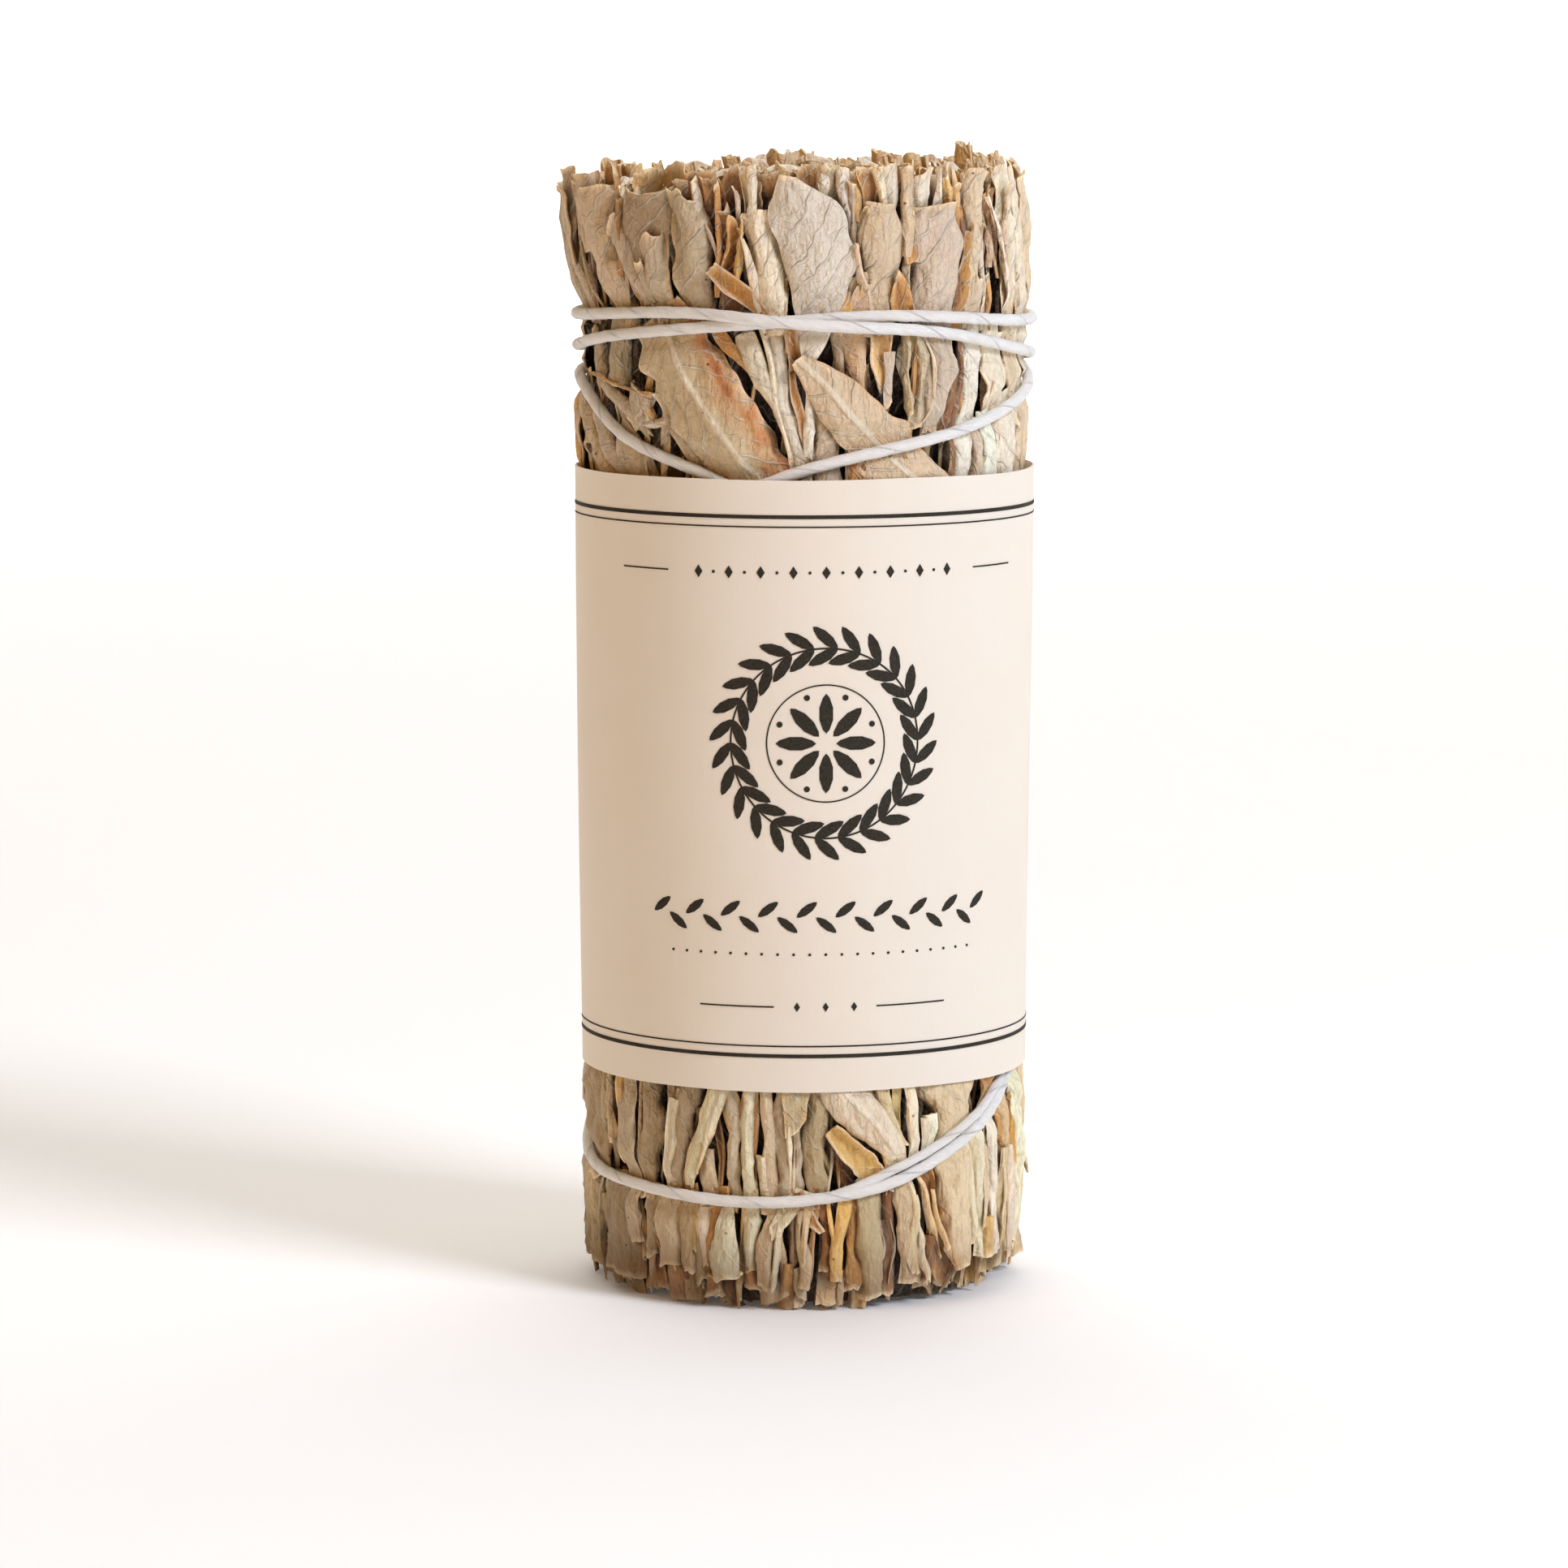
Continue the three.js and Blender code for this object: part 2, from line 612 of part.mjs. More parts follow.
function outerSprig(number) {
  const top = (leftSeam(number)(CORE_ENDS[1]) + rightSeam(number)(CORE_ENDS[1])) / 2;
  const spots = [
    [top - 7.6, 18.0, true],
    [top + 0.4, 17.8, false],
    [top + 7.8, 18.0, true],
    [top + (number % 2 ? 4 : -4), 15.2, false],
  ];
  const own = OVER_LEAVES.filter((leaf) => owner(leaf) === number);
  const over = own.map((leaf) => overLeaf(leaf).subtract(threadSpace));
  const pack = joined([packedLeaves(number), ...rimEnds(number), ...curls(spots, 300 + number)]);
  const beside = ({ sprig }) => [1, OUTER_SPRIGS - 1].includes(Math.abs(sprig - number));
  const cleared = rooms.filter(beside).reduce((solid, { room }) => solid.subtract(room), pack);
  return largestBody(joined([cleared, ...over]));
}

// A sector of packed leaves between two radii, with half the gap off each side.
function packedSector(from, to, inner, outer, arc) {
  const rings = CORE_ENDS.map((z) => {
    const ring = [];
    for (let k = 0; k <= arc; k++) {
      const side = k === 0 ? 1 : k === arc ? -1 : 0;
      const angle = mix(from, to, k / arc);
      const fold = side === 0 && k % 2 ? 0.5 : 0;
      ring.push(polar(angle, outer - fold, z).add(polar(angle + 90, (side * GAP) / 2, 0)));
    }
    for (const [angle, side] of [[to, -1], [mix(from, to, 0.5), 0], [from, 1]]) {
      ring.push(polar(angle, inner, z).add(polar(angle + 90, (side * GAP) / 2, 0)));
    }
    return ring;
  });
  return loftSolid(rings);
}

function middleSprig(number) {
  const step = 360 / MIDDLE_SPRIGS;
  const middle = number * step;
  const [inner, outer] = MIDDLE_RING;
  const spots = [
    [middle - 25, 10.6, true],
    [middle - 2, 10.6, false],
    [middle + 23, 10.4, true],
    [middle - 14, 7, false],
    [middle + 16, 6.8, false],
  ];
  const core = packedSector(middle - step / 2, middle + step / 2, inner, outer, 6);
  return largestBody(joined([core, ...curls(spots, 500 + number)]));
}

// The middle of the bundle holds a woody stem that is cut level with the foot.
function centreSprig() {
  const sides = 8;
  const angles = Array.from({ length: sides }, (_, k) => (360 * k) / sides);
  const ring = (radius, z) => angles.map((angle) => polar(angle, radius, z));
  const core = loftSolid(CORE_ENDS.map((z) => ring(CENTRE_RADIUS, z)));
  const stem = loftSolid([ring(STEM_RADIUS, 0), ring(STEM_RADIUS * 0.8, TOP - 1.2)]);
  const around = [60, 180, 300].map((angle) => [angle, 2.3, false]);
  return largestBody(joined([core, stem, ...curls(around, 600)]));
}

// ---------------------------------------------------------------- the paper band

function bandSolid() {
  const [low, high] = BAND_Z;
  const [below, above] = BAND_RADII;
  const corner = (radius, z) => new THREE.Vector2(radius, z);
  const inner = [corner(below - PAPER, low), corner(above - PAPER, high)];
  const profile = [inner[0], corner(below, low), corner(above, high), inner[1], inner[0].clone()];
  const ring = new THREE.LatheGeometry(profile, BAND_FACETS);
  ring.rotateX(Math.PI / 2);
  const [from, to] = GLUED_FLAP;
  const columns = 4;
  const flap = sheetSolid(2, columns, (row, column, side) => {
    const angle = mix(from, to, column / (columns - 1));
    const lifted = column === columns - 1 ? 0.5 : 0.4;
    const radius = mix(below, above, row) + (side === 0 ? lifted : -0.2);
    return polar(angle, radius, row === 0 ? low : high);
  });
  return joined([solidOf(ring), flap]);
}

// ---------------------------------------------------------------- the assembly

const group = new THREE.Group();

function addMesh(name, solid, color, roughness) {
  const material = new THREE.MeshStandardMaterial({ color, roughness, metalness: 0 });
  const mesh = new THREE.Mesh(geometryOf(solid), material);
  mesh.name = name;
  group.add(mesh);
}

const LEAF_COLOURS = [0xc9b79c, 0xbfae92, 0xcdbb9f];
const sprigName = (ring, number) => `${ring}_sprig_${String(number + 1).padStart(2, "0")}`;
for (let k = 0; k < OUTER_SPRIGS; k++) {
  addMesh(sprigName("outer", k), outerSprig(k), LEAF_COLOURS[k % 3], 0.9);
}
for (let k = 0; k < MIDDLE_SPRIGS; k++) {
  addMesh(sprigName("middle", k), middleSprig(k), LEAF_COLOURS[k % 3], 0.9);
}
addMesh("centre_sprig", centreSprig(), 0xb39a76, 0.9);
addMesh("thread", threadSolid(), 0xf1ede6, 0.95);
addMesh("paper_band", bandSolid(), 0xefe3d4, 0.85);

export default group;
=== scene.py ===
"""Finish of a tied bundle of dried sage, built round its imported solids.

Everything is in the part's own frame: +Z up, the front faces -Y, and an angle is measured
from the front, positive towards +X. Sizes are worked out in millimetres and become metres
when a mesh is made.
"""

import logging
import math
from dataclasses import dataclass, field, replace
from enum import Enum
from typing import Any, Callable, Iterable, Sequence

import bpy
import numpy as np
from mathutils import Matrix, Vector


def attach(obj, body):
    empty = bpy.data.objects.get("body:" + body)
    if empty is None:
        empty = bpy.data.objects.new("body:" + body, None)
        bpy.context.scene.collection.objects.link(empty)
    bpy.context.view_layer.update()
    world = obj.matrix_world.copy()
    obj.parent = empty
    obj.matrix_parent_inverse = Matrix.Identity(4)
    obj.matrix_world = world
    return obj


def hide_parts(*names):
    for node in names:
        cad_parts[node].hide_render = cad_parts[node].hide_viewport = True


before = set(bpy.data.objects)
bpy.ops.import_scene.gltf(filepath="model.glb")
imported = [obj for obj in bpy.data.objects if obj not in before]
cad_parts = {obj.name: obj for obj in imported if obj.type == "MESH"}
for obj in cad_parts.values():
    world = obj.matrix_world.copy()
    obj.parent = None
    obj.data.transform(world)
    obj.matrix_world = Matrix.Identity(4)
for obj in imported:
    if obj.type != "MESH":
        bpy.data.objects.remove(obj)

LOG = logging.getLogger("sage_bundle")
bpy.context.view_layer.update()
MM = 0.001
DEG = math.pi / 180
UNROLL = 20.8  # radius at which angles and widths are exchanged
TOP_MEAN, TOP_SLOPE = 102.7, 1.0
SPRIGS = {"outer": 12, "middle": 5}  # in each ring
PAPER_EDGE = (20.4, 75.9)  # heights of the band's edges
BAND_RADII = (20.8, 21.3)
THREAD_RADIUS = 0.56
BLADE = 0.32  # thickness of a dried blade
LOWEST = 0.02  # height under which no leaf reaches
FLAPS, FLAP_WIDTHS = 0.36, (1.7, 5.0)  # share and widths of leaves with a folded-over half
Array, Draw = np.ndarray, np.random.Generator
Socket, Mesh = bpy.types.NodeSocket, bpy.types.Mesh
Material, Piece = bpy.types.Material, bpy.types.Object
Colour = tuple[float, float, float]


def linear(*levels: int) -> Colour:
    """A screen colour's red, green and blue as linear light."""
    shares = [level / 255 for level in levels]
    return tuple(s / 12.92 if s <= 0.04045 else ((s + 0.055) / 1.055) ** 2.4 for s in shares)


def smoothstep(value: Array, low: float, high: float) -> Array:
    """Rises smoothly from 0 at low to 1 at high."""
    share = np.clip((value - low) / (high - low), 0, 1)
    return share * share * (3 - 2 * share)


def soft_least(value: Array, limit: Array, soft: float) -> Array:
    """The lesser of two, rounded where they meet, and always rising with value."""
    return limit - soft * np.logaddexp(0, (limit - value) / soft)


def cut_top(angle: float) -> float:
    """Height of the cut top at an angle in degrees."""
    return TOP_MEAN + TOP_SLOPE * math.sin(angle * DEG)


def sprig_at(ring: str, angle: float) -> str:
    """Name of the sprig of a ring that stands at an angle in degrees."""
    return f"{ring}_sprig_{round(angle * SPRIGS[ring] / 360) % SPRIGS[ring] + 1:02d}"


def mixed(base: Array, colour: Colour, share: Array) -> Array:
    """A colour with a share of another one in it."""
    return base * (1 - share) + np.array(colour) * share


def round_axis(out: Array, turn: Array, height: Array) -> Array:
    """Points from distances from the axis, angles in radians from the front, and heights."""
    return np.stack(np.broadcast_arrays(out * np.sin(turn), -out * np.cos(turn), height), -1)


def picked(draw: Draw, chances: dict[Any, float]) -> Any:
    """One of several, each with its own chance."""
    return list(chances)[draw.choice(len(chances), p=list(chances.values()))]


@dataclass(frozen=True)
class Ripple:
    """Smooth seeded noise over a plane, a sum of a few waves, about -1 to 1."""

    seed: int
    length: float
    stretch: float = 1.0
    waves: int = 7

    def __call__(self, across: Array, along: Array) -> Array:
        """The noise at places given in millimetres.

        Args:
            across: Place across the grain.
            along: Place along the grain, which the noise is stretched along.

        Returns:
            One value for each place.
        """
        draw = np.random.default_rng(self.seed)
        total = np.zeros(np.broadcast(across, along).shape)
        for _ in range(self.waves):
            turn, phase = draw.uniform(0, 2 * math.pi, 2)
            rate = 2 * math.pi / (self.length * draw.uniform(0.6, 1.7))
            place = math.cos(turn) * across + math.sin(turn) * along / self.stretch
            total = total + np.sin(rate * place + phase)
        return total / math.sqrt(self.waves)


# ---- the thread's route


class ThreadRoute:
    """The wound thread, from knot to knot, as angle and height."""

    ROUTE = (
        (-177, 87.8), (-130, 86.7), (-88, 87.0), (-53, 88.5), (-10, 89.9), (22, 90.5),
        (76, 89.5), (180, 90.6), (272, 89.9), (331, 90.7), (362, 89.8), (393, 89.0),
        (433, 86.8), (540, 84.6), (600, 84.7), (640, 83.7), (669, 79.0), (695, 75.9),
        (720, 71.5), (840, 47), (930, 24), (992, 12.5), (1034, 10.6), (1078, 10.3),
        (1103, 12.2), (1146, 18.8), (1180, 25), (1290, 47), (1400, 70), (1434, 76.0),
        (1487, 80.3), (1520, 83.1), (1570, 86.6), (1617, 88.3),
    )
    DEPTH = ((9, 20.25), (16.5, 20.2), (19.8, 19.4), (73, 19.8), (76.4, 19.9), (79.5, 20.5),
             (85, 20.75), (88, 21.0))
    KNOT = (180.0, 88.0)
    KNOT_OUT = 22.0
    CROSSING, HALF_CROSSING, RISE = 361.0, 30.0, 1.2
    TURNS = range(6)
    FREE = 60.0  # reach that nothing limits
    BESIDE, WIDENS, POWER = 0.45, 0.42, 1.6  # how a leaf swells beside the thread

    def __init__(self) -> None:
        """Samples the smooth curve through the route's points."""
        samples = self._curve(np.array(self.ROUTE, float), 24)
        self.turned, self.height = samples[:, 0], samples[:, 1]

    @staticmethod
    def _curve(points: Array, steps: int) -> Array:
        """A centripetal curve through points, with even steps between each two."""
        ends = (2 * points[0] - points[1], 2 * points[-1] - points[-2])
        walk = np.vstack([ends[0], points, ends[1]])
        share = np.linspace(0, 1, steps, endpoint=False)[:, None]
        parts = []
        for a, b, c, d in zip(walk, walk[1:], walk[2:], walk[3:]):
            gaps = [math.sqrt(np.linalg.norm(q - p)) for p, q in ((a, b), (b, c), (c, d))]
            low = ((b - a) / gaps[0] - (c - a) / (gaps[0] + gaps[1]) + (c - b) / gaps[1]) * gaps[1]
            high = ((c - b) / gaps[1] - (d - b) / (gaps[1] + gaps[2]) + (d - c) / gaps[2]) * gaps[1]
            square, cube = share**2, share**3
            parts.append(
                b + low * share + (3 * (c - b) - 2 * low - high) * square
                + (2 * (b - c) + low + high) * cube
            )
        return np.vstack([*parts, points[-1:]])

    def centre(self, turned: Array) -> tuple[Array, Array]:
        """Distance from the axis and height of the thread's centre.

        Args:
            turned: Places on the route, in degrees from its start at the front.

        Returns:
            Distances and heights.
        """
        height = np.interp(turned, self.turned, self.height)
        out = np.interp(height, *zip(*self.DEPTH))
        off = np.abs(turned - self.CROSSING)
        over = self.RISE * (1 - smoothstep(off, 0.35 * self.HALF_CROSSING, self.HALF_CROSSING))
        return out + over, height

    def limit(self, angle: Array, height: Array) -> Array:
        """How far out a leaf may reach at a place beside or under the thread."""
        start = np.mod(angle + 180, 360) - 180
        limit = np.full(np.broadcast(angle, height).shape, self.FREE)
        for turn in self.TURNS:
            turned = start + 360 * turn
            inside = (turned >= self.turned[0]) & (turned <= self.turned[-1])
            out, level = self.centre(turned)
            away = np.maximum(np.abs(height - level) - self.BESIDE, 0)
            bound = out - THREAD_RADIUS - 0.02 + self.WIDENS * away**self.POWER
            limit = np.where(inside, np.minimum(limit, bound), limit)
        return limit


# ---- the bundle's outside


@dataclass(frozen=True)
class Bundle:
    """The outside that the leaves' backs make together."""

    thread: ThreadRoute
    profile: tuple[tuple[float, float], ...] = (
        (0, 19.7), (3, 20.3), (10, 20.6), (21, 20.4), (75, 20.3), (77, 20.55), (84, 21.0),
        (91, 21.0), (97, 21.6), (105, 21.5),
    )
    lean: tuple[tuple[float, float], ...] = ((88, 0.0), (94, 0.5), (99, 1.0), (106, 1.5))

    def free(self, height: Array, angle: Array) -> Array:
        """Distance of the leaves' backs from the axis where nothing presses on them."""
        aside = np.interp(height, *zip(*self.lean)) * np.sin(angle * DEG)
        return np.interp(height, *zip(*self.profile)) - aside

    def pressed(self, out: Array, angle: Array, height: Array) -> Array:
        """Distances as the thread and the band leave them.

        Args:
            out: Distances from the axis before anything presses.
            angle: Angles in degrees.
            height: Heights.

        Returns:
            Distances, in the same order from the axis as before.
        """
        low, high = PAPER_EDGE
        share = np.clip((height - low) / (high - low), 0, 1)
        beyond = np.maximum(np.maximum(low - height, height - high), 0)
        band = BAND_RADII[0] + (BAND_RADII[1] - BAND_RADII[0]) * share - 0.45 + 0.8 * beyond
        limit = np.minimum(self.thread.limit(angle, height), band)
        return soft_least(out, limit, 0.22)


class Relief:
    """How far out the leaves laid so far reach, by angle and height."""

    STEP_ANGLE, STEP_HEIGHT = 0.5, 0.2
    TALL, DEEPEST = 108, 15.0  # what it covers, and where it starts
    FINER = 4  # how much closer its cells are than a leaf's points

    def __init__(self) -> None:
        """Starts with nothing laid."""
        self.columns = round(360 / self.STEP_ANGLE)
        self.rows = round(self.TALL / self.STEP_HEIGHT)
        self.out = np.full((self.rows, self.columns), self.DEEPEST)

    def _cells(self, angle: Array, height: Array) -> tuple[Array, Array]:
        """Rows and columns of places."""
        row = np.clip(np.rint(height / self.STEP_HEIGHT).astype(int), 0, self.rows - 1)
        column = np.mod(np.rint(angle / self.STEP_ANGLE).astype(int), self.columns)
        return row, column

    def under(self, angle: Array, height: Array, grid: Array | None = None) -> Array:
        """Reach of what lies at each place, in the relief or in an evened one."""
        row, column = self._cells(angle, height)
        return (self.out if grid is None else grid)[row, column]

    def lay(self, angle: Array, height: Array, out: Array, shown: Array) -> None:
        """Adds a leaf's outer face, given on a grid, where it looks outwards."""
        grids = [self._finer(grid, self.FINER) for grid in (angle, height, out, shown.astype(float))]
        angle, height, out = (grid[grids[3] > 0.5] for grid in grids[:3])
        np.maximum.at(self.out, self._cells(angle, height), out)

    def evened(self, reach: float) -> Array:
        """The relief as an average over a reach in millimetres."""
        grid = self.out
        for axis, step in ((0, self.STEP_HEIGHT), (1, self.STEP_ANGLE * DEG * UNROLL)):
            far = round(2 * reach / step)
            spots = range(-far, far + 1)
            weights = [math.exp(-((spot * step / reach) ** 2)) for spot in spots]
            rolled = (w * np.roll(grid, spot, axis) for spot, w in zip(spots, weights))
            grid = sum(rolled) / sum(weights)
        return grid

    @staticmethod
    def _finer(grid: Array, times: int) -> Array:
        """A grid with more rows and columns, by straight lines."""
        for axis in (0, 1):
            count = grid.shape[axis]
            place = np.linspace(0, count - 1, (count - 1) * times + 1)
            low = np.minimum(place.astype(int), count - 2)
            share = place - low
            share = share[:, None] if axis == 0 else share[None, :]
            grid = np.take(grid, low, axis) * (1 - share) + np.take(grid, low + 1, axis) * share
        return grid


# ---- meshes


@dataclass
class Sheets:
    """Thin closed sheets that are gathered into one mesh."""

    points: list[Array] = field(default_factory=list)
    faces: list[Array] = field(default_factory=list)
    uv: list[Array] = field(default_factory=list)
    tint: list[Array] = field(default_factory=list)
    count: int = 0

    def add(
        self, faces: Sequence[Array], uv: Array, tints: Sequence[Array], falling: bool = False
    ) -> None:
        """Adds a sheet from two grids of points.

        Args:
            faces: Outer and inner face, rows by columns by 3, with columns to the right.
            uv: Place across and along the blade, rows by columns by 2.
            tints: Colours of the outer and the inner face, rows by columns by 3.
            falling: True where the rows run downwards.
        """
        if falling:
            faces, tints, uv = [f[::-1] for f in faces], [c[::-1] for c in tints], uv[::-1]
        rows, columns = faces[0].shape[:2]
        size = rows * columns
        front = np.arange(size).reshape(rows, columns) + self.count
        back = front + size
        up = right = slice(1, None)
        down = left = slice(None, -1)
        quads = [
            (front[down, left], front[down, right], front[up, right], front[up, left]),
            (back[down, left], back[up, left], back[up, right], back[down, right]),
            (back[0, left], back[0, right], front[0, right], front[0, left]),
            (front[-1, left], front[-1, right], back[-1, right], back[-1, left]),
            (front[down, 0], front[up, 0], back[up, 0], back[down, 0]),
            (front[down, -1], back[down, -1], back[up, -1], front[up, -1]),
        ]
        self.faces.extend(np.stack([q.ravel() for q in quad], 1) for quad in quads)
        self.points.extend(face.reshape(-1, 3) for face in faces)
        self.uv.extend((uv.reshape(-1, 2), uv.reshape(-1, 2)))
        self.tint.extend(tint.reshape(-1, 3) for tint in tints)
        self.count += 2 * size

    def mesh(self, name: str) -> Mesh:
        """The gathered sheets as one mesh in metres, with UVs and colours."""
        made = bpy.data.meshes.new(name)
        faces = np.vstack(self.faces)
        made.from_pydata((np.vstack(self.points) * MM).tolist(), [], faces.tolist())
        layer = made.uv_layers.new(name="blade")
        corners = np.empty(len(made.loops), int)
        made.loops.foreach_get("vertex_index", corners)
        layer.data.foreach_set("uv", np.vstack(self.uv)[corners].astype(np.float32).ravel())
        tint = np.vstack(self.tint)
        colours = np.hstack([tint, np.ones((len(tint), 1))]).astype(np.float32)
        attribute = made.color_attributes.new("tint", "FLOAT_COLOR", "POINT")
        attribute.data.foreach_set("color", colours.ravel())
        made.shade_smooth()
        made.set_sharp_from_angle(angle=38 * DEG)
        return made


def place_piece(mesh: Mesh, material: Material, slot: str, *nodes: str) -> Piece:
    """Puts a finished mesh in the scene as a piece of the object.

    Args:
        mesh: The mesh, in the part's frame.
        material: Its finish.
        slot: The record's slot for that finish; not used.
        nodes: The CAD nodes that the piece stands for.

    Returns:
        The piece.
    """
    piece = linked(mesh.name, mesh)
    mesh.materials.clear()
    mesh.materials.append(material)
    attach(piece, "root")
    if nodes:
        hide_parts(*nodes)
    LOG.info("%s: %d faces", piece.name, len(mesh.polygons))
    return piece


# ---- leaves


class Tone(Enum):
    """Main colours of dried leaves."""

    PALE = linear(243, 229, 208)
    BEIGE = linear(222, 198, 166)
    GREY = linear(214, 194, 168)
    DIM = linear(192, 166, 134)
    PINK = linear(224, 199, 171)
    ROSE = linear(246, 220, 190)
    PEACH = linear(228, 193, 156)
    OLIVE = linear(208, 186, 148)
    YELLOW = linear(234, 190, 120)
    OCHRE = linear(206, 148, 80)
    BROWN = linear(142, 93, 52)
    DARK = linear(94, 62, 38)


# Golden colour of inner faces: partly the underside's own tone, partly painted shade and bounce light
# inside rolls and folds.
INSIDE = linear(200, 150, 92)
BLUSH = linear(214, 136, 72)
RUST = linear(150, 72, 30)
# Colour of painted highlights on the free ends and edges of blades.
PAINTED_HIGHLIGHT = linear(255, 234, 192)
GOLD = linear(238, 186, 106)
# Colour of painted shade in the bundle's depths.
PAINTED_SHADE = linear(46, 28, 15)


@dataclass(frozen=True)
class Fold:
    """How a blade is bent across its width, in radians from its middle to each margin."""

    turn: float
    crease: float = 0.0
    left: float = 0.0
    right: float = 0.0
    conform: float = 0.6
    creases: int = 2


class Form(Enum):
    """The ways in which the blades have dried, by the letters that the tables use."""

    F = Fold(0.20, 0.26, 0.35, 0.35, 0.85, 2)  # flat
    A = Fold(0.70, 0.10, 0.55, 0.55, 0.55, 3)  # arched
    R = Fold(1.90, 0.00, 0.25, 0.35, 0.15, 2)  # rolled
    V = Fold(0.55, 1.70, 0.10, 0.10, 0.25, 0)  # folded
    C = Fold(0.55, 0.80, -0.50, 0.45, 0.5, 3)  # creased
    T = Fold(-0.75, -0.50, -0.20, -0.10, 0.35, 1)  # a trough


@dataclass(frozen=True)
class Leaf:
    """One dried leaf on the outside, from its root to its free end."""

    root: tuple[float, float]
    end: tuple[float, float]
    width: tuple[float, ...]
    form: Form
    tone: Tone
    level: float = 0.0
    torn: float = 0.33
    slant: float = 0.0
    bow: float = 0.0
    blush: float = 0.0
    fine: float = 1.0
    calm: float = 0.0
    dip: float = 0.0
    rib: float = 0.0

    def line(self) -> tuple[Array, Array]:
        """Its root, and the way from there to its end, on the unrolled outside."""
        spots = [np.array([spot[0] * DEG * UNROLL, spot[1]]) for spot in (self.root, self.end)]
        return spots[0], spots[1] - spots[0]


F, A, R, V, C, T = Form


def leaves(zone: str) -> list[Leaf]:
    """Reads a zone's leaves, laid in order, one to a line.

    Args:
        zone: Lines of root angle, root height, end angle, end height, widths joined by
            slashes, form, tone and level, then any of torn, slant, bow, blush, calm, dip and rib.

    Returns:
        The leaves.
    """
    read = []
    for line in zone.strip().splitlines():
        *spots, width, form, tone, level = line.split()[:8]
        angle, height, to_angle, to_height = (float(n) for n in spots)
        width = tuple(float(n) for n in width.split("/"))
        extra = {"calm": 0.25 if max(width) > 2 else 0.0}
        extra.update((key, float(value)) for key, value in (w.split("=") for w in line.split()[8:]))
        look = (width, Form[form], Tone[tone], float(level))
        read.append(Leaf((angle, height), (to_angle, to_height), *look, **extra))
    return read


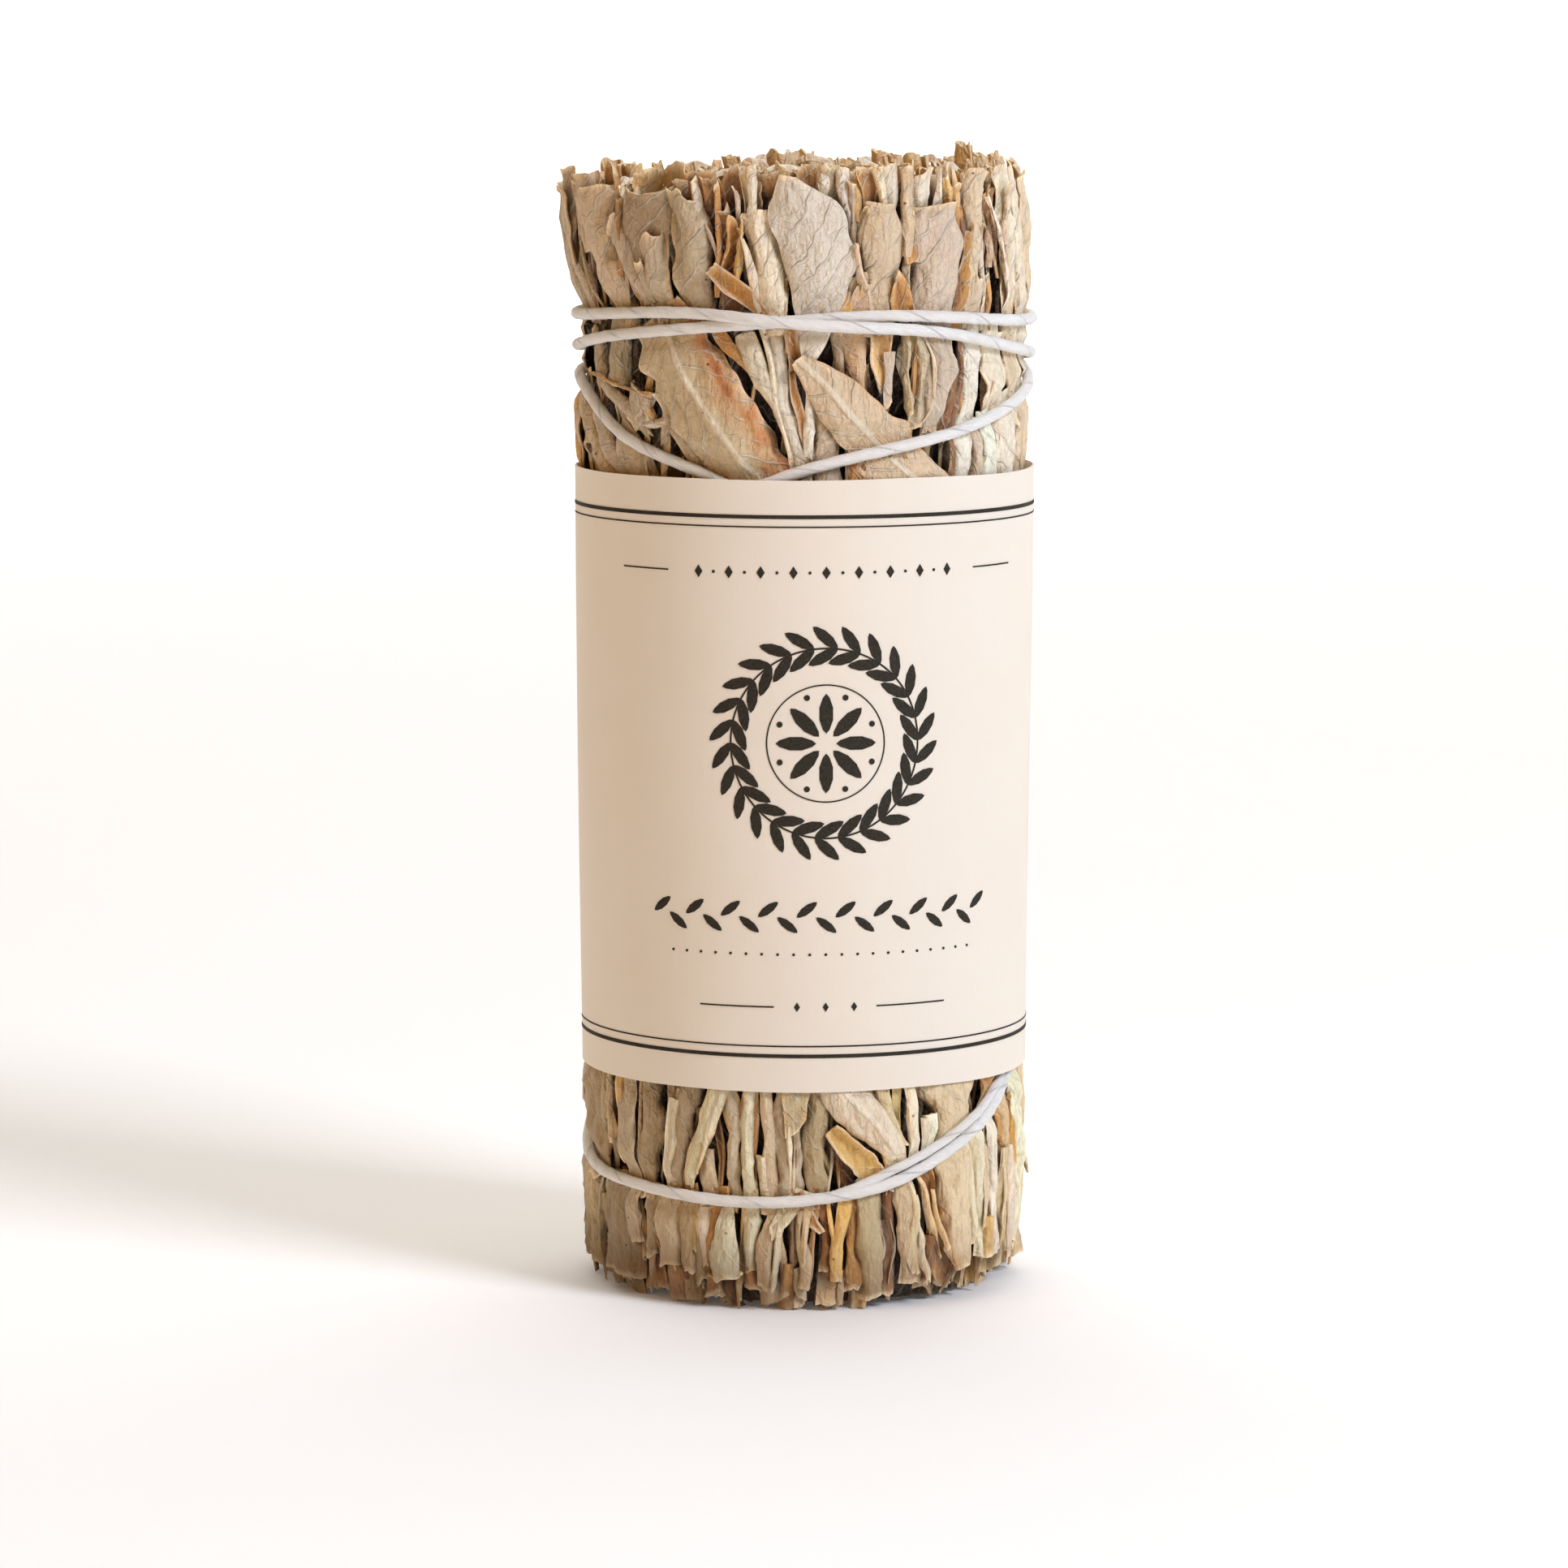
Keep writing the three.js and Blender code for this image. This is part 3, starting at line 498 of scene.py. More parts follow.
ABOVE_THREAD = """
-17.5 96 -17.5 104 2.2/2.6 T OCHRE -1.5
-9 96 -8.6 103.3 2.4/3 A OCHRE -1.6
-14 99 -14 103.6 1.6/1.8 T YELLOW -1
-4.5 99 -4.5 103.6 2.5/3 A BEIGE -1.2
0.5 99 0.5 103.8 2.2/2.6 T OCHRE -1.1
4.2 98.5 4.5 103.9 1.2/1.4 R PALE -0.8
7.2 98 7.2 103.8 1.6/1.8 T DIM -1
10.6 97 10.2 103.6 1.2/1.3 R PALE -0.6
12.6 95 11.6 102.3 1.4/2/1.6 V BEIGE -0.4
12.6 99 12.6 103.4 1.4/1.6 R YELLOW -0.7
16.7 98 16.6 103.8 2.2/2.4 T OCHRE -0.8
19 98 18.9 104 0.8/0.9 R PALE -0.4
22.2 98 22.2 104.1 1.9/2.1 R PALE -0.5
26.6 96 26.8 103.9 1.3/1.5 R BEIGE -0.4
27.2 95.5 27.6 99.8 1.4/1.6 T OCHRE -0.4
31.8 98 32.5 103.4 2.4/2.6 A PALE -0.3 slant=-0.6
35.5 98 35.8 103.6 1/1.2 V PALE -0.5
39.5 98.5 39.6 103.4 2.2/2.8/1.6 C YELLOW -0.6 torn=1
42.2 98.5 42.3 102 1.2/1.4 R OCHRE -0.4
44.4 97 44.8 103.2 1.2/1.3 V BROWN -0.8
57.4 95 57.5 101.2 1.6/2.2 T OCHRE -0.7
53 93 54.5 99 1.6/1.4 T BROWN -1.1
-47 92 -47.6 101 1/1.6 T DARK -1.5
-38 98 -38.5 103.6 5.2/6 T YELLOW -0.75 torn=0.4
-76 94 -78 103.3 2.4/3.6 A GREY -0.1
-66 96 -68 103 2.4/2.8 R BEIGE -0.3
-56 97 -56 103.6 2/2.2 T OCHRE -1.4 torn=0.9
-27 98 -26.5 103.3 2.6/3 A OCHRE -1.2
-23.5 98 -24 103 1.4/1.8 T OCHRE -0.8
-31.5 99 -32 102.6 1.6/1.8 C BEIGE -0.9
-45.8 91.5 -50.3 100.7 0.9/1.3 V OCHRE -0.1
-80 89.6 -92 101.6 4.2/4.2/3.6 A GREY 0
-71 89.6 -78.5 99 1.8/1.9/1.4 R GREY -0.2
-63.5 90.8 -71 97.5 0.8/1.2/0.8 V OLIVE -0.3
-41.5 91 -40.3 102.8 2.6/5.4/7.3/7.4 A DIM 0.1 torn=0.15 calm=0.6 dip=1.6
-54 89 -61.5 101.8 4.2/5.4/6.8/6.6 A PINK 0.1 blush=0.35 calm=0.4 torn=0.2
-40.5 90 -52.3 98.6 1.4/3.2/4.2/3.2 A PINK 0.15 calm=0.5
-33.5 89.2 -35 92 2/0.8 F BROWN -0.9
-38.5 89.4 -38.8 97.4 2.6/2.8/3.9 A GREY 0.2 torn=0.6 calm=0.4
-30.8 90 -34.3 98.8 1/1.4/1.2 T BROWN -0.7
-26 89.2 -29 101.6 3/4.3/4.3/3.4 C BEIGE 0.3 torn=0.8 calm=0.3
-27.8 98 -28 102.6 1.4/1.6/0.8 V PALE 0
-21.8 92.5 -20.3 102.2 0.8/1.7/1.9/0.8 V OCHRE -0.4
-20.5 93 -16.5 98.8 1.6/2.4/1.2 T OCHRE -0.4
-17 92.5 -15 99 0.8/1/0.7 V YELLOW -0.1
-16.5 89.2 -20.4 93.8 2.8/1.6 F BROWN -0.7
-6.5 89.2 -12.6 99.8 1.6/3/3.6/2.4 A PALE 0
-13 98.8 -12.4 104 0.9/0.9/0.8 R PALE -0.2
-6 89.2 -21.8 94.9 0.9/1.9/1.8/1.4 T OCHRE 0.15
10.8 89 11 94 3.4/3.8 F DIM -0.4
14.6 89 15 93.4 2.4/1.6 A PEACH -0.15 blush=0.8
18.2 89.2 12.2 96.9 1/1.3/0.6 V PINK 0.15
0.6 86.2 -3.6 103 0.8/2.9/4.7/6/7/7.1/5.9/1.6 F PALE 0.6 slant=0.2 torn=0.05 calm=0.85 bow=1.9
19.4 89 19.2 100.6 1.5/2.6/3.9/4.6/4.9/4.7/3.2 A PINK 0.3 torn=0.10 calm=0.6 slant=0.2 blush=0.3
29 89.3 21.8 93.8 2.4/2.6/1 T OCHRE 0.1
42.5 90 43.6 99.6 1.6/1.8 R BROWN -0.5
35 89 35.2 100.4 4/4.9/5.4/5.7/5.9/5.9/5.2 A GREY 0.45 torn=0.14 calm=0.65
44.2 89.4 46.3 98.2 2.6/2.8/1.6 C OCHRE -0.15
46.8 91 50.2 103.1 1.6/2.4/3.4/3.9 R BEIGE 0.1
47.8 89.2 48.5 93.8 2.6/2.2/0.8 A PINK 0.1
51.5 89.2 49 98.6 0.7/1/0.6 V PALE 0.1
61.3 89.2 52.6 101.2 0.9/1/0.9 V PALE 0.1 bow=0.7
55 89.2 55 93.9 1.8/1.6 V OCHRE -0.2
67 89.2 66 93 1.4/1 T OCHRE -0.1
65.5 89.2 61.8 103.6 2.4/3/2.8 A PALE 0
77 89.2 69.5 103.7 3.2/3.4/2.8 A PALE 0
87 89.2 81 103 3.2/3.4/3 A BEIGE -0.1
"""

BETWEEN = """
-86 81 -85 89.4 2.4/2.6/2.4 A GREY -0.1
-57 89.8 -57.2 84 4.2/4.4/4.4 A OLIVE -0.1 torn=0.2
-46 83.5 -51.5 80.4 3.4/3.6/1.6 A BEIGE 0
-50.5 80.1 -36.5 80.9 0.9/1.2/0.8 V PALE -0.5
-44 83 -44 80.8 1.2/1.2 A YELLOW -0.6
-46 79.3 -74 88.3 1/1.6/1.6/1.4 R GREY -0.3
-87 84 -80 77.5 2.2/2.4 R GREY -0.3
-84 81 -60 74 3.2/3.4/3 A PINK -0.1
-70.5 81 -51.5 74 1.6/2.4/2.2 R GREY -0.2
-57 80 -46 74.2 2/3.8/4 A PINK -0.5
-64.5 84.6 -40 83.1 0.7/0.8/0.7 V OCHRE 0.2
-38.5 83.2 -23.5 73.6 1/2.6/3.2 F OLIVE -0.1
-40.3 90.2 -8.3 73.6 6.6/8.3/8.7/8.3/7.6 F BEIGE 0.5 blush=2 calm=0.7 torn=0.15 rib=1
-21 89.4 -13.3 85.3 1.1/1.2/0.8 R OCHRE 0
-15.5 89.8 -15.3 86.6 1.5/1.3 A GREY -0.3
-14.6 88.6 -6.2 82 1.5/1.8/0.9 R PALE 0.1
-8.8 89.8 0.3 74 2.8/2.4/2.2/1.6 A PALE 0
-4 89.6 -3 86 1.3/1.1 T OCHRE -0.2
0.6 84.4 1 74 0.9/1 R PALE -0.2
6 74 4.5 84.5 3.6/3/2.4 F GREY -0.4
8.4 89.6 8.6 85 1.6/1.4 A DIM -0.4
12.8 89.8 13.6 84 3.4/3/2 C PEACH -0.2 blush=0.7
19.4 89.8 19.8 83.8 2.6/1.8/0.8 T YELLOW -0.1
22 87 21.9 82.4 1.4/0.8 A GREY -0.2
26 89.6 27.2 81.4 2/2.2/1.4 V OLIVE -0.4
30.3 89.6 30.2 80.4 2.4/3/2.2 C GREY 0
34.5 89.6 35.4 79.8 2.6/3.4/2.4 A GREY 0.05
31.4 88.9 31.2 80.6 0.5/0.6/0.5 V PALE 0.15 bow=0.8
39 89.4 38.9 84.6 1.3/1.2 R PINK 0
40.4 85 38.3 79 1.3/1.6 A BROWN -0.2
43.4 89.4 40.8 74 0.9/1/0.9 V BROWN -0.1
48.2 89.4 44.8 74 3.1/3.4/3.1 R PALE 0.1 calm=0.3
57 89.4 56.8 81.6 3.3/3.6/3.2 A PALE 0.05 calm=0.3
56 84 55.8 81.5 1.2/1 T OCHRE 0.1
65 89 66.4 82 2.8/2.8/1.6 A BEIGE -0.1
75 89.4 74 80 4/4.2/4 A PALE 0
70 89.5 70.5 80 3.4/3.8/3.2 A PALE -0.2
80 89.5 79.5 79 3.6/3.8/3 A PALE -0.3
85 89.4 84 74 3.4/3.4/3.4 A BEIGE -0.1
50.6 80.5 50 74 1.2/1.4 R GREY 0
54 81.5 57.8 74 2.4/3.2 A PALE 0
64 83 68 74 4.6/5/4.8 A PALE 0 calm=0.3
76 82 78 74 4.2/4.4 A BEIGE -0.05
22.5 78.6 22 74 2.6/3 A BEIGE -0.2
14 78 14 74 2.4/2.6 A OCHRE -0.3
26.2 78.6 29.8 75 0.8/0.8 V YELLOW 0.3
36.5 73.2 -1.4 86.8 6/6.1/5.9/5.4/4.2/1.2 F PINK 0.7 torn=0.1 calm=0.75 bow=-0.4 rib=0.6
"""

BELOW_BAND = """
-22.5 17 -22.5 10.6 3.6/3 T OCHRE -1
7.2 20 7.2 11 1.4/1.6 T DARK -1.2
11 15 11 9.6 2.2/2 A BROWN -0.9
61 19 59.5 12 2.6/2.4 T BROWN -0.6
23.2 12 23.2 1.2 1.6/1.6 R BROWN -0.8
-3.2 10 -3.4 2 1.2/1.2 V DIM -0.8
-21 4 -21 0.2 3.6/3.4 A BROWN -0.7 torn=0.8
-5 4 -4.5 0.3 4.2/4.4 C OCHRE -0.6 torn=0.7
6.5 4 6.5 0.1 3.8/4 C OCHRE -0.7 torn=0.7
-57 5 -56 0.1 3/3.4 A OLIVE -0.6
-64.5 5 -65 0.3 1.8/1.8 R BEIGE -0.5
-43.3 5.5 -43 1 1.6/1.5 T OCHRE -0.4
-34 5 -33.4 0.5 2/2 A BROWN -0.5
-15 5 -15 1.7 2/2 A OCHRE -0.3
34.5 6 34.5 2 2/2.2 C BROWN -0.3
-88 22 -88 10 3/3 A GREY -0.1
-64 22 -62.5 14 1.8/1.4 A BEIGE -0.3
-76 22 -72.5 10 5.2/5.6/4.6 A DIM 0.05
-55 22 -52.5 10 3/2.8/2.2 A GREY 0
-46.8 22 -45.5 10 3.6/3.6/3.2 C DIM 0
-48 21 -47.5 12 0.6/0.7 V BEIGE 0.15
-31.5 22 -36.8 10 3.4/3.8/3.2 A DIM -0.05
-26.3 14.6 -26.5 10 2.4/2.6 F GREY -0.5
-20 22 -18.8 12.2 1.6/1.7/0.9 A GREY -0.2
-21.5 22 -32.3 10 2.2/2.4/2/0.9 F PALE 0.35
-14.7 22 -14.2 3.7 2/2.1/1.8/1.9/1.7 R PALE 0.15
-9.9 22 -9.4 12 1.2/1.3 R BEIGE 0
-10.2 14.2 -9.6 9 1.6/1.8 C PALE -0.2
-5.2 22 -4.6 9.4 2.4/2.6/2.2 A GREY -0.1
3.2 22 2.6 11.4 4.4/3.4/2.2 F DIM -0.2
-1 22 -2.8 16.4 3.4/1.2 F GREY 0.15
-3.9 16.9 -3.9 9.6 0.6/0.6 V PALE 0.2
-2.6 16.9 -2.9 9.6 0.5/0.6 V PALE 0.2
20 22 24.8 15 2.2/2.2/1.4 A BEIGE 0
27.6 22 30.4 14.4 1.4/1.5/1.2 R PALE 0
13 22 27.8 13.4 1.6/1.8/0.8 R PALE 0.2
7.4 16.7 24.5 13.4 1.5/2.6/2.4/0.8 T YELLOW 0.15
6.5 22 27 13.4 4.6/4.6/3.4/1 A PALE 0.5 calm=0.6 rib=0.6
33.5 17.5 35 11.6 1.6/1.8 C PALE 0.1
67.5 21.4 68.5 10.5 3.2/3.2/2.8 A PEACH 0 blush=0.5
57 22 57 17.2 3.4/3 T OCHRE 0
80 22 78 3.5 3.8/4/3.6 A PALE -0.05
90 22 89 2 3.4/3.4 A BEIGE -0.1
52.8 17 52.8 3.8 2.2/2.4/1.8 A PALE 0
58.5 16 61.5 3.2 2/2.4/2.2 A PALE 0
64 13 67 3.5 1.4/1.8/1.4 A OLIVE -0.1
69.5 13 71 2.6 1.8/2.2 A PALE 0
42.5 22 45 3.2 7.6/7.4/6.6/5.8/5.4/5.2/4.8/2.2 A ROSE 0.5 blush=-0.9 torn=0.12 calm=0.6
45.3 15 48.4 6 0.8/1/0.7 V OCHRE 0.15
47.6 15 49.6 5 1/1 R PALE 0.1
54.5 7 54.5 3.6 1.6/1.4 R YELLOW 0.2
-37.6 8 -38 0.3 2.4/2.6 R OCHRE -0.2
-86 12 -87 1.8 2.4/2.6 R GREY -0.1
-77 12 -77 1.9 2.4/2.6 R GREY 0
-60 12 -59.2 1.8 4.8/5.8/6.4 A DIM 0.05 torn=0.4
-52.5 11 -52 5 2.4/2.2 A GREY -0.1
-44.2 12 -46 4 2.4/3/3.4 A DIM -0.1 torn=0.6
-37.6 12 -38.2 3.4 2.8/3.2/3 A PINK 0.05
-33 12 -31.3 3.2 3/3.6/3.2 A DIM 0 torn=0.7
-28.3 12 -27.5 2 2.4/2.8/2.8 C DIM -0.1 torn=0.6
-24.8 11 -25 1.2 1.4/1.6 A OCHRE -0.3
-22 11.2 -21.5 7.8 2.2/1.6 T OCHRE -0.2
-21 9.4 -20.5 2.8 1.2/2.6/3.2 A PALE 0.1
-24.6 3.2 -16.6 3.3 0.7/0.8/0.7 V YELLOW 0.1 bow=0.4
-8.2 11 -11 2 1.2/2/2 A PINK 0
-0.6 11 -8.2 7.2 1.6/1.8/1 F PALE 0.25
-6.2 9.4 -8 2 1.2/1.6/1.2 V PALE 0.15
-0.6 11 -1.4 2.4 1.6/1.8/1.7 R PINK 0.05
-2 10.7 4.6 7.4 1.2/1.3/0.6 T OCHRE 0.2
5 11.4 5.6 3.6 1.2/1.3 A BROWN -0.5
6.4 11.2 7.6 1.8 0.8/0.9/1.2 V YELLOW 0
10.4 11.4 8.6 2.8 1.1/1.2/1 R YELLOW 0
12.3 11.6 12 1.8 1.3/1.4 A OCHRE -0.5
18 12 18.6 1.1 2.7/2.75/2.8 R OLIVE 0.1 torn=0.3
26.4 13.2 28.8 2.2 1.6/2.2/2.4 A PINK 0
28.4 12.2 32.6 2.4 0.7/0.9/0.9 V PALE 0.15
33 13 37 5 2.4/1.6 T OCHRE -0.3
21.5 8 22.5 1 1.6/1.8 T BROWN -0.4
40 8 40.5 1.6 2.2/2.4 T OCHRE -0.4
31.2 13 37.5 4.3 1/1.4/1.2 V PEACH 0.1
34 10.6 39 5 0.7/0.9/0.6 V PEACH 0.2
"""


@dataclass(frozen=True)
class Backdrop:
    """Leaves behind the chosen ones, and those of the bundle's back, laid by a rule."""

    DEEP, SLIVERS = 46, 84  # leaves in one ring of a layer
    SLIVER_TONES = {
        Tone.OCHRE: 0.24, Tone.DIM: 0.2, Tone.YELLOW: 0.12, Tone.BROWN: 0.12, Tone.OLIVE: 0.1,
        Tone.BEIGE: 0.12, Tone.PALE: 0.1,
    }
    SLIVER_FORMS = {V: 0.3, R: 0.25, T: 0.2, A: 0.15, C: 0.1}
    BACK_TONES = {
        Tone.GREY: 0.26, Tone.BEIGE: 0.2, Tone.PALE: 0.18, Tone.PINK: 0.12, Tone.OLIVE: 0.08,
        Tone.DIM: 0.08, Tone.OCHRE: 0.08,
    }
    BACK_FORMS = {A: 0.34, R: 0.26, V: 0.1, C: 0.14, F: 0.08, T: 0.08}

    seed: int

    def deep(self) -> list[Leaf]:
        """A layer of broad leaves, set back, all the way round."""
        draw = np.random.default_rng(self.seed)
        made = []
        for low, foot in ((72.5, False), (24.5, True)):
            for step in range(self.DEEP):
                angle = -180 + 360 * (step + draw.uniform(-0.2, 0.2)) / self.DEEP
                end = draw.uniform(0.2, 3) if foot else cut_top(angle) - draw.uniform(0.2, 2.0)
                tone = draw.choice([Tone.DIM, Tone.OCHRE, Tone.GREY, Tone.BROWN])
                look = (draw.choice([A, C, T, R]), tone)
                width = tuple(draw.uniform(2.6, 4.4, 3))
                tip = (angle + draw.uniform(-4, 4), end)
                level = draw.uniform(-2.6, -1.5)
                made.append(Leaf((angle, low), tip, width, *look, level, 0.7, fine=0.55))
        return made

    def slivers(self) -> list[Leaf]:
        """Thin folds, strips and stems that fill the gaps, all the way round."""
        draw = np.random.default_rng(self.seed + 7)
        made = []
        for low, high in ((89.0, None), (73.5, 89.6), (22.0, 9.5), (12.0, 0.0)):
            for step in range(self.SLIVERS):
                angle = -180 + 360 * (step + draw.uniform(-0.5, 0.5)) / self.SLIVERS
                end = cut_top(angle) if high is None else high
                span = end - low
                start = low + span * draw.uniform(0, 0.35)
                stop = end - span * draw.uniform(0, 0.3) - math.copysign(abs(draw.normal(0, 0.5)), span)
                wide = draw.uniform(0.45, 1.5)
                tip = (angle + draw.uniform(-6, 6), max(stop, 0.1))
                width = (wide * 0.8, wide, wide * draw.uniform(0.4, 1.0))
                look = (picked(draw, self.SLIVER_FORMS), picked(draw, self.SLIVER_TONES))
                level, bow = draw.uniform(-1.5, -0.3), draw.normal(0, 0.35)
                made.append(Leaf((angle, start), tip, width, *look, level, 0.8, bow=bow, fine=0.55))
        return made

    def back(self) -> list[Leaf]:
        """The leaves of the sides and the back, away from the chosen ones."""
        draw = np.random.default_rng(self.seed + 1)
        made = []
        for low, high in ((89.0, None), (73.5, 89.6), (22.0, 9.5), (22.0, 0.0)):
            angle = 92.0
            while angle < 268:
                width = draw.uniform(1.6, 5.4)
                step = width / (UNROLL * DEG)
                middle = angle + step / 2
                angle += step * draw.uniform(0.72, 0.95)
                lean = draw.uniform(-5, 5)
                if high is None:
                    end = cut_top(middle) + 0.7 - abs(draw.normal(0, 0.9))
                elif high == 0:
                    end = min(abs(draw.normal(0, 1.6)) + 0.2, 4)
                else:
                    end = high + draw.uniform(-0.3, 0.3)
                shape = tuple(width * draw.uniform(0.75, 1.15, 3))
                look = (picked(draw, self.BACK_FORMS), picked(draw, self.BACK_TONES))
                level, torn = draw.uniform(-0.6, 0.1), draw.uniform(0.3, 0.9)
                blush = draw.uniform(-1, 1) * (draw.random() < 0.25)
                root, tip = (middle, low), (middle + lean, end)
                made.append(Leaf(root, tip, shape, *look, level, torn, blush=blush, fine=0.62))
            made.extend(self._over(draw, low, high))
        return made

    @staticmethod
    def _over(draw: Draw, low: float, high: float | None) -> list[Leaf]:
        """A few broad leaves that lie across a zone of the back."""
        made = []
        for angle in np.arange(104, 262, 26):
            if draw.random() < 0.35:
                continue
            start = angle + draw.uniform(-8, 8)
            end = high - 0.5 if high else cut_top(start) - draw.uniform(1, 3)
            end = draw.uniform(1.5, 4) if high == 0 else end
            tip = (start + (draw.uniform(-20, 20) if high else draw.uniform(-7, 7)), end)
            wide = draw.uniform(3.8, 6.6)
            width = (0.7 * wide, wide, 0.9 * wide, 0.6 * wide)
            look = (draw.choice([F, A]), draw.choice([Tone.GREY, Tone.PINK, Tone.BEIGE]))
            level, blush = draw.uniform(0.15, 0.5), draw.uniform(-1, 1)
            more = {"blush": blush, "calm": 0.6, "fine": 0.8, "rib": 1.0}
            made.append(Leaf((start, low), tip, width, *look, level, 0.4, **more))
        return made


@dataclass
class Blade:
    """One leaf's own grid while it is shaped, in millimetres along and across it."""

    COARSEST, FINEST = 7, 60  # rows
    LEAST_PAIRS, BROAD_PAIRS, MOST_PAIRS = 2, 4, 16  # columns on each side of the middle

    ROW_STEP, COLUMN_STEP = 0.43, 0.27
    CRUMPLED, FINELY, RIDGED, WAVY = 0.09, 0.035, 0.19, 0.26  # heights of its wrinkles
    TORN, FRAYED, FINELY_FRAYED = 0.55, 0.15, 0.06  # lengths of a torn end's jags
    CREASED_FROM, HEMMED_FROM = 1.6, 1.8  # widths from which it is creased or has rolled hems

    leaf: Leaf
    number: int

    def __post_init__(self) -> None:
        """Spaces the rows and columns, closer together towards the free end."""
        leaf, turn = self.leaf, abs(self.leaf.form.value.turn)
        self.draw = np.random.default_rng(9000 + self.number)
        self.start, run = leaf.line()
        self.length = float(np.linalg.norm(run))
        self.along = run / self.length
        self.facing = 1.0 if self.along[1] >= 0 else -1.0
        self.across = np.array([self.along[1], -self.along[0]]) * self.facing
        reach = turn / math.sin(min(turn, math.pi / 2))
        self.widest = max(leaf.width) * reach
        rows = int(np.clip(self.length / self.ROW_STEP * leaf.fine, self.COARSEST, self.FINEST))
        least = self.LEAST_PAIRS if self.widest < 1.3 else self.BROAD_PAIRS
        pairs = self.widest / self.COLUMN_STEP * leaf.fine / 2
        self.columns = 2 * int(np.clip(pairs, least, self.MOST_PAIRS)) + 1
        self.t = 1 - (1 - np.linspace(0, 1, rows)[:, None]) ** 1.2
        self.u = np.linspace(-1, 1, self.columns)[None, :]
        self.place = self.t * self.length
        self.left = self.length - self.place
        half = np.interp(self.t, np.linspace(0, 1, len(leaf.width)), leaf.width) / 2 * reach
        self.half = half * (1 + 0.07 * self.ripple(0, 3.0, waves=4)(self.t * 0, self.place))
        self.arc = self.u * self.half
        self.wild = 1 - leaf.calm

    def ripple(self, kind: int, *sizes: Any, **more: Any) -> Ripple:
        """This blade's own ripple of a kind."""
        return Ripple(self.number + kind, *sizes, **more)

    def swaying(self, kind: int, length: float) -> Array:
        """A slow ripple along the blade, the same all the way across."""
        return self.ripple(kind, length, waves=3)(0 * self.t, self.place)

    def ending(self, reach: float) -> Array:
        """Rises from 0 to 1 over the last stretch before the free end."""
        return np.clip((self.place - self.length + reach) / reach, 0, 1)

    def slope(self) -> Array:
        """The section's slope in radians, positive where the face rises to the right."""
        leaf, draw, u, wild = self.leaf, self.draw, self.u, self.wild
        fold, broadest = leaf.form.value, max(leaf.width)
        turn = fold.turn * (1 + draw.uniform(-0.25, 0.25) * self.t)
        tilt = (draw.normal(0, 0.13) + draw.normal(0, 0.2) * (self.t - 0.5)) * (0.2 + 0.8 * wild)
        margin = np.clip((np.abs(u) - 0.45) / 0.55, 0, 1) ** 1.5
        right, left = (part + draw.normal(0, 0.3) * wild for part in (fold.right, fold.left))
        side = np.where(u > 0, -right, left)
        crease = fold.crease + abs(draw.normal(0, 0.3)) * (broadest > self.CREASED_FROM) * wild
        slope = tilt - turn * u - 0.5 * crease * np.tanh(u / 0.1) + side * margin
        slope = slope + 0.13 * self.ripple(1, 3.2, 2.4)(self.arc, self.place) * (0.3 + np.abs(u))
        sharp = np.zeros(slope.shape)
        for k in range(fold.creases if broadest > self.CREASED_FROM else 0):
            line = draw.uniform(-0.75, 0.75) + draw.normal(0, 0.45) * (self.t - 0.5)
            line = line + 0.08 * self.swaying(20 + k, 6.0)
            bend = draw.choice([-1, 1]) * draw.uniform(0.3, 0.85)
            fade = np.clip(0.75 + 0.8 * self.swaying(30 + k, 9.0), 0, 1)
            sharp = sharp + 0.5 * bend * fade * np.tanh((u - line) / 0.05)
        slope = slope + (sharp - 0.8 * sharp.mean(1, keepdims=True)) * (0.15 + 0.85 * wild)
        slope = slope - slope[:, [self.columns // 2]] * 0.3
        hems = [edge for edge in (-1, 1) if draw.random() < 0.42]
        for edge in hems if broadest > self.HEMMED_FROM and leaf.calm < 0.5 else ():
            fade = np.clip(0.6 + 0.9 * self.swaying(40, 8.0), 0, 1)
            rolled = np.clip((u * edge - 0.76) / 0.24, 0, 1) ** 1.2 * draw.uniform(1.0, 2.4)
            slope = slope + edge * rolled * fade
        return slope

    def lift(self) -> Array:
        """How high its wrinkles, wavy margins and midrib stand."""
        leaf, arc, place = self.leaf, self.arc, self.place
        small = min(1.0, min(leaf.width) / 1.4)
        crumple = self.CRUMPLED * self.ripple(2, 2.4, 2.0)(arc, place)
        crumple = crumple + self.FINELY * self.ripple(12, 1.0, 5.0, 6)(arc, place)
        ridge = 1 - np.abs(self.ripple(3, 3.0, 1.5, 4)(arc, place)) * 2.2
        ridge = np.clip(ridge, 0, 1) ** 1.5 * (ridge > 0)
        crumple = (crumple + self.RIDGED * ridge * (0.35 + 0.65 * self.wild)) * small
        wave = self.WAVY * np.abs(self.u) ** 3 * self.ripple(4, 4.0, waves=4)(self.u * 3, place) * small
        rib = np.exp(-((arc / 0.2) ** 2)) * (self.half > 1.2) * (leaf.form.value.turn < 1)
        rib = rib * (0.10 + 0.08 * leaf.calm) * (0.15 + 0.85 * leaf.rib)
        return crumple + wave + rib

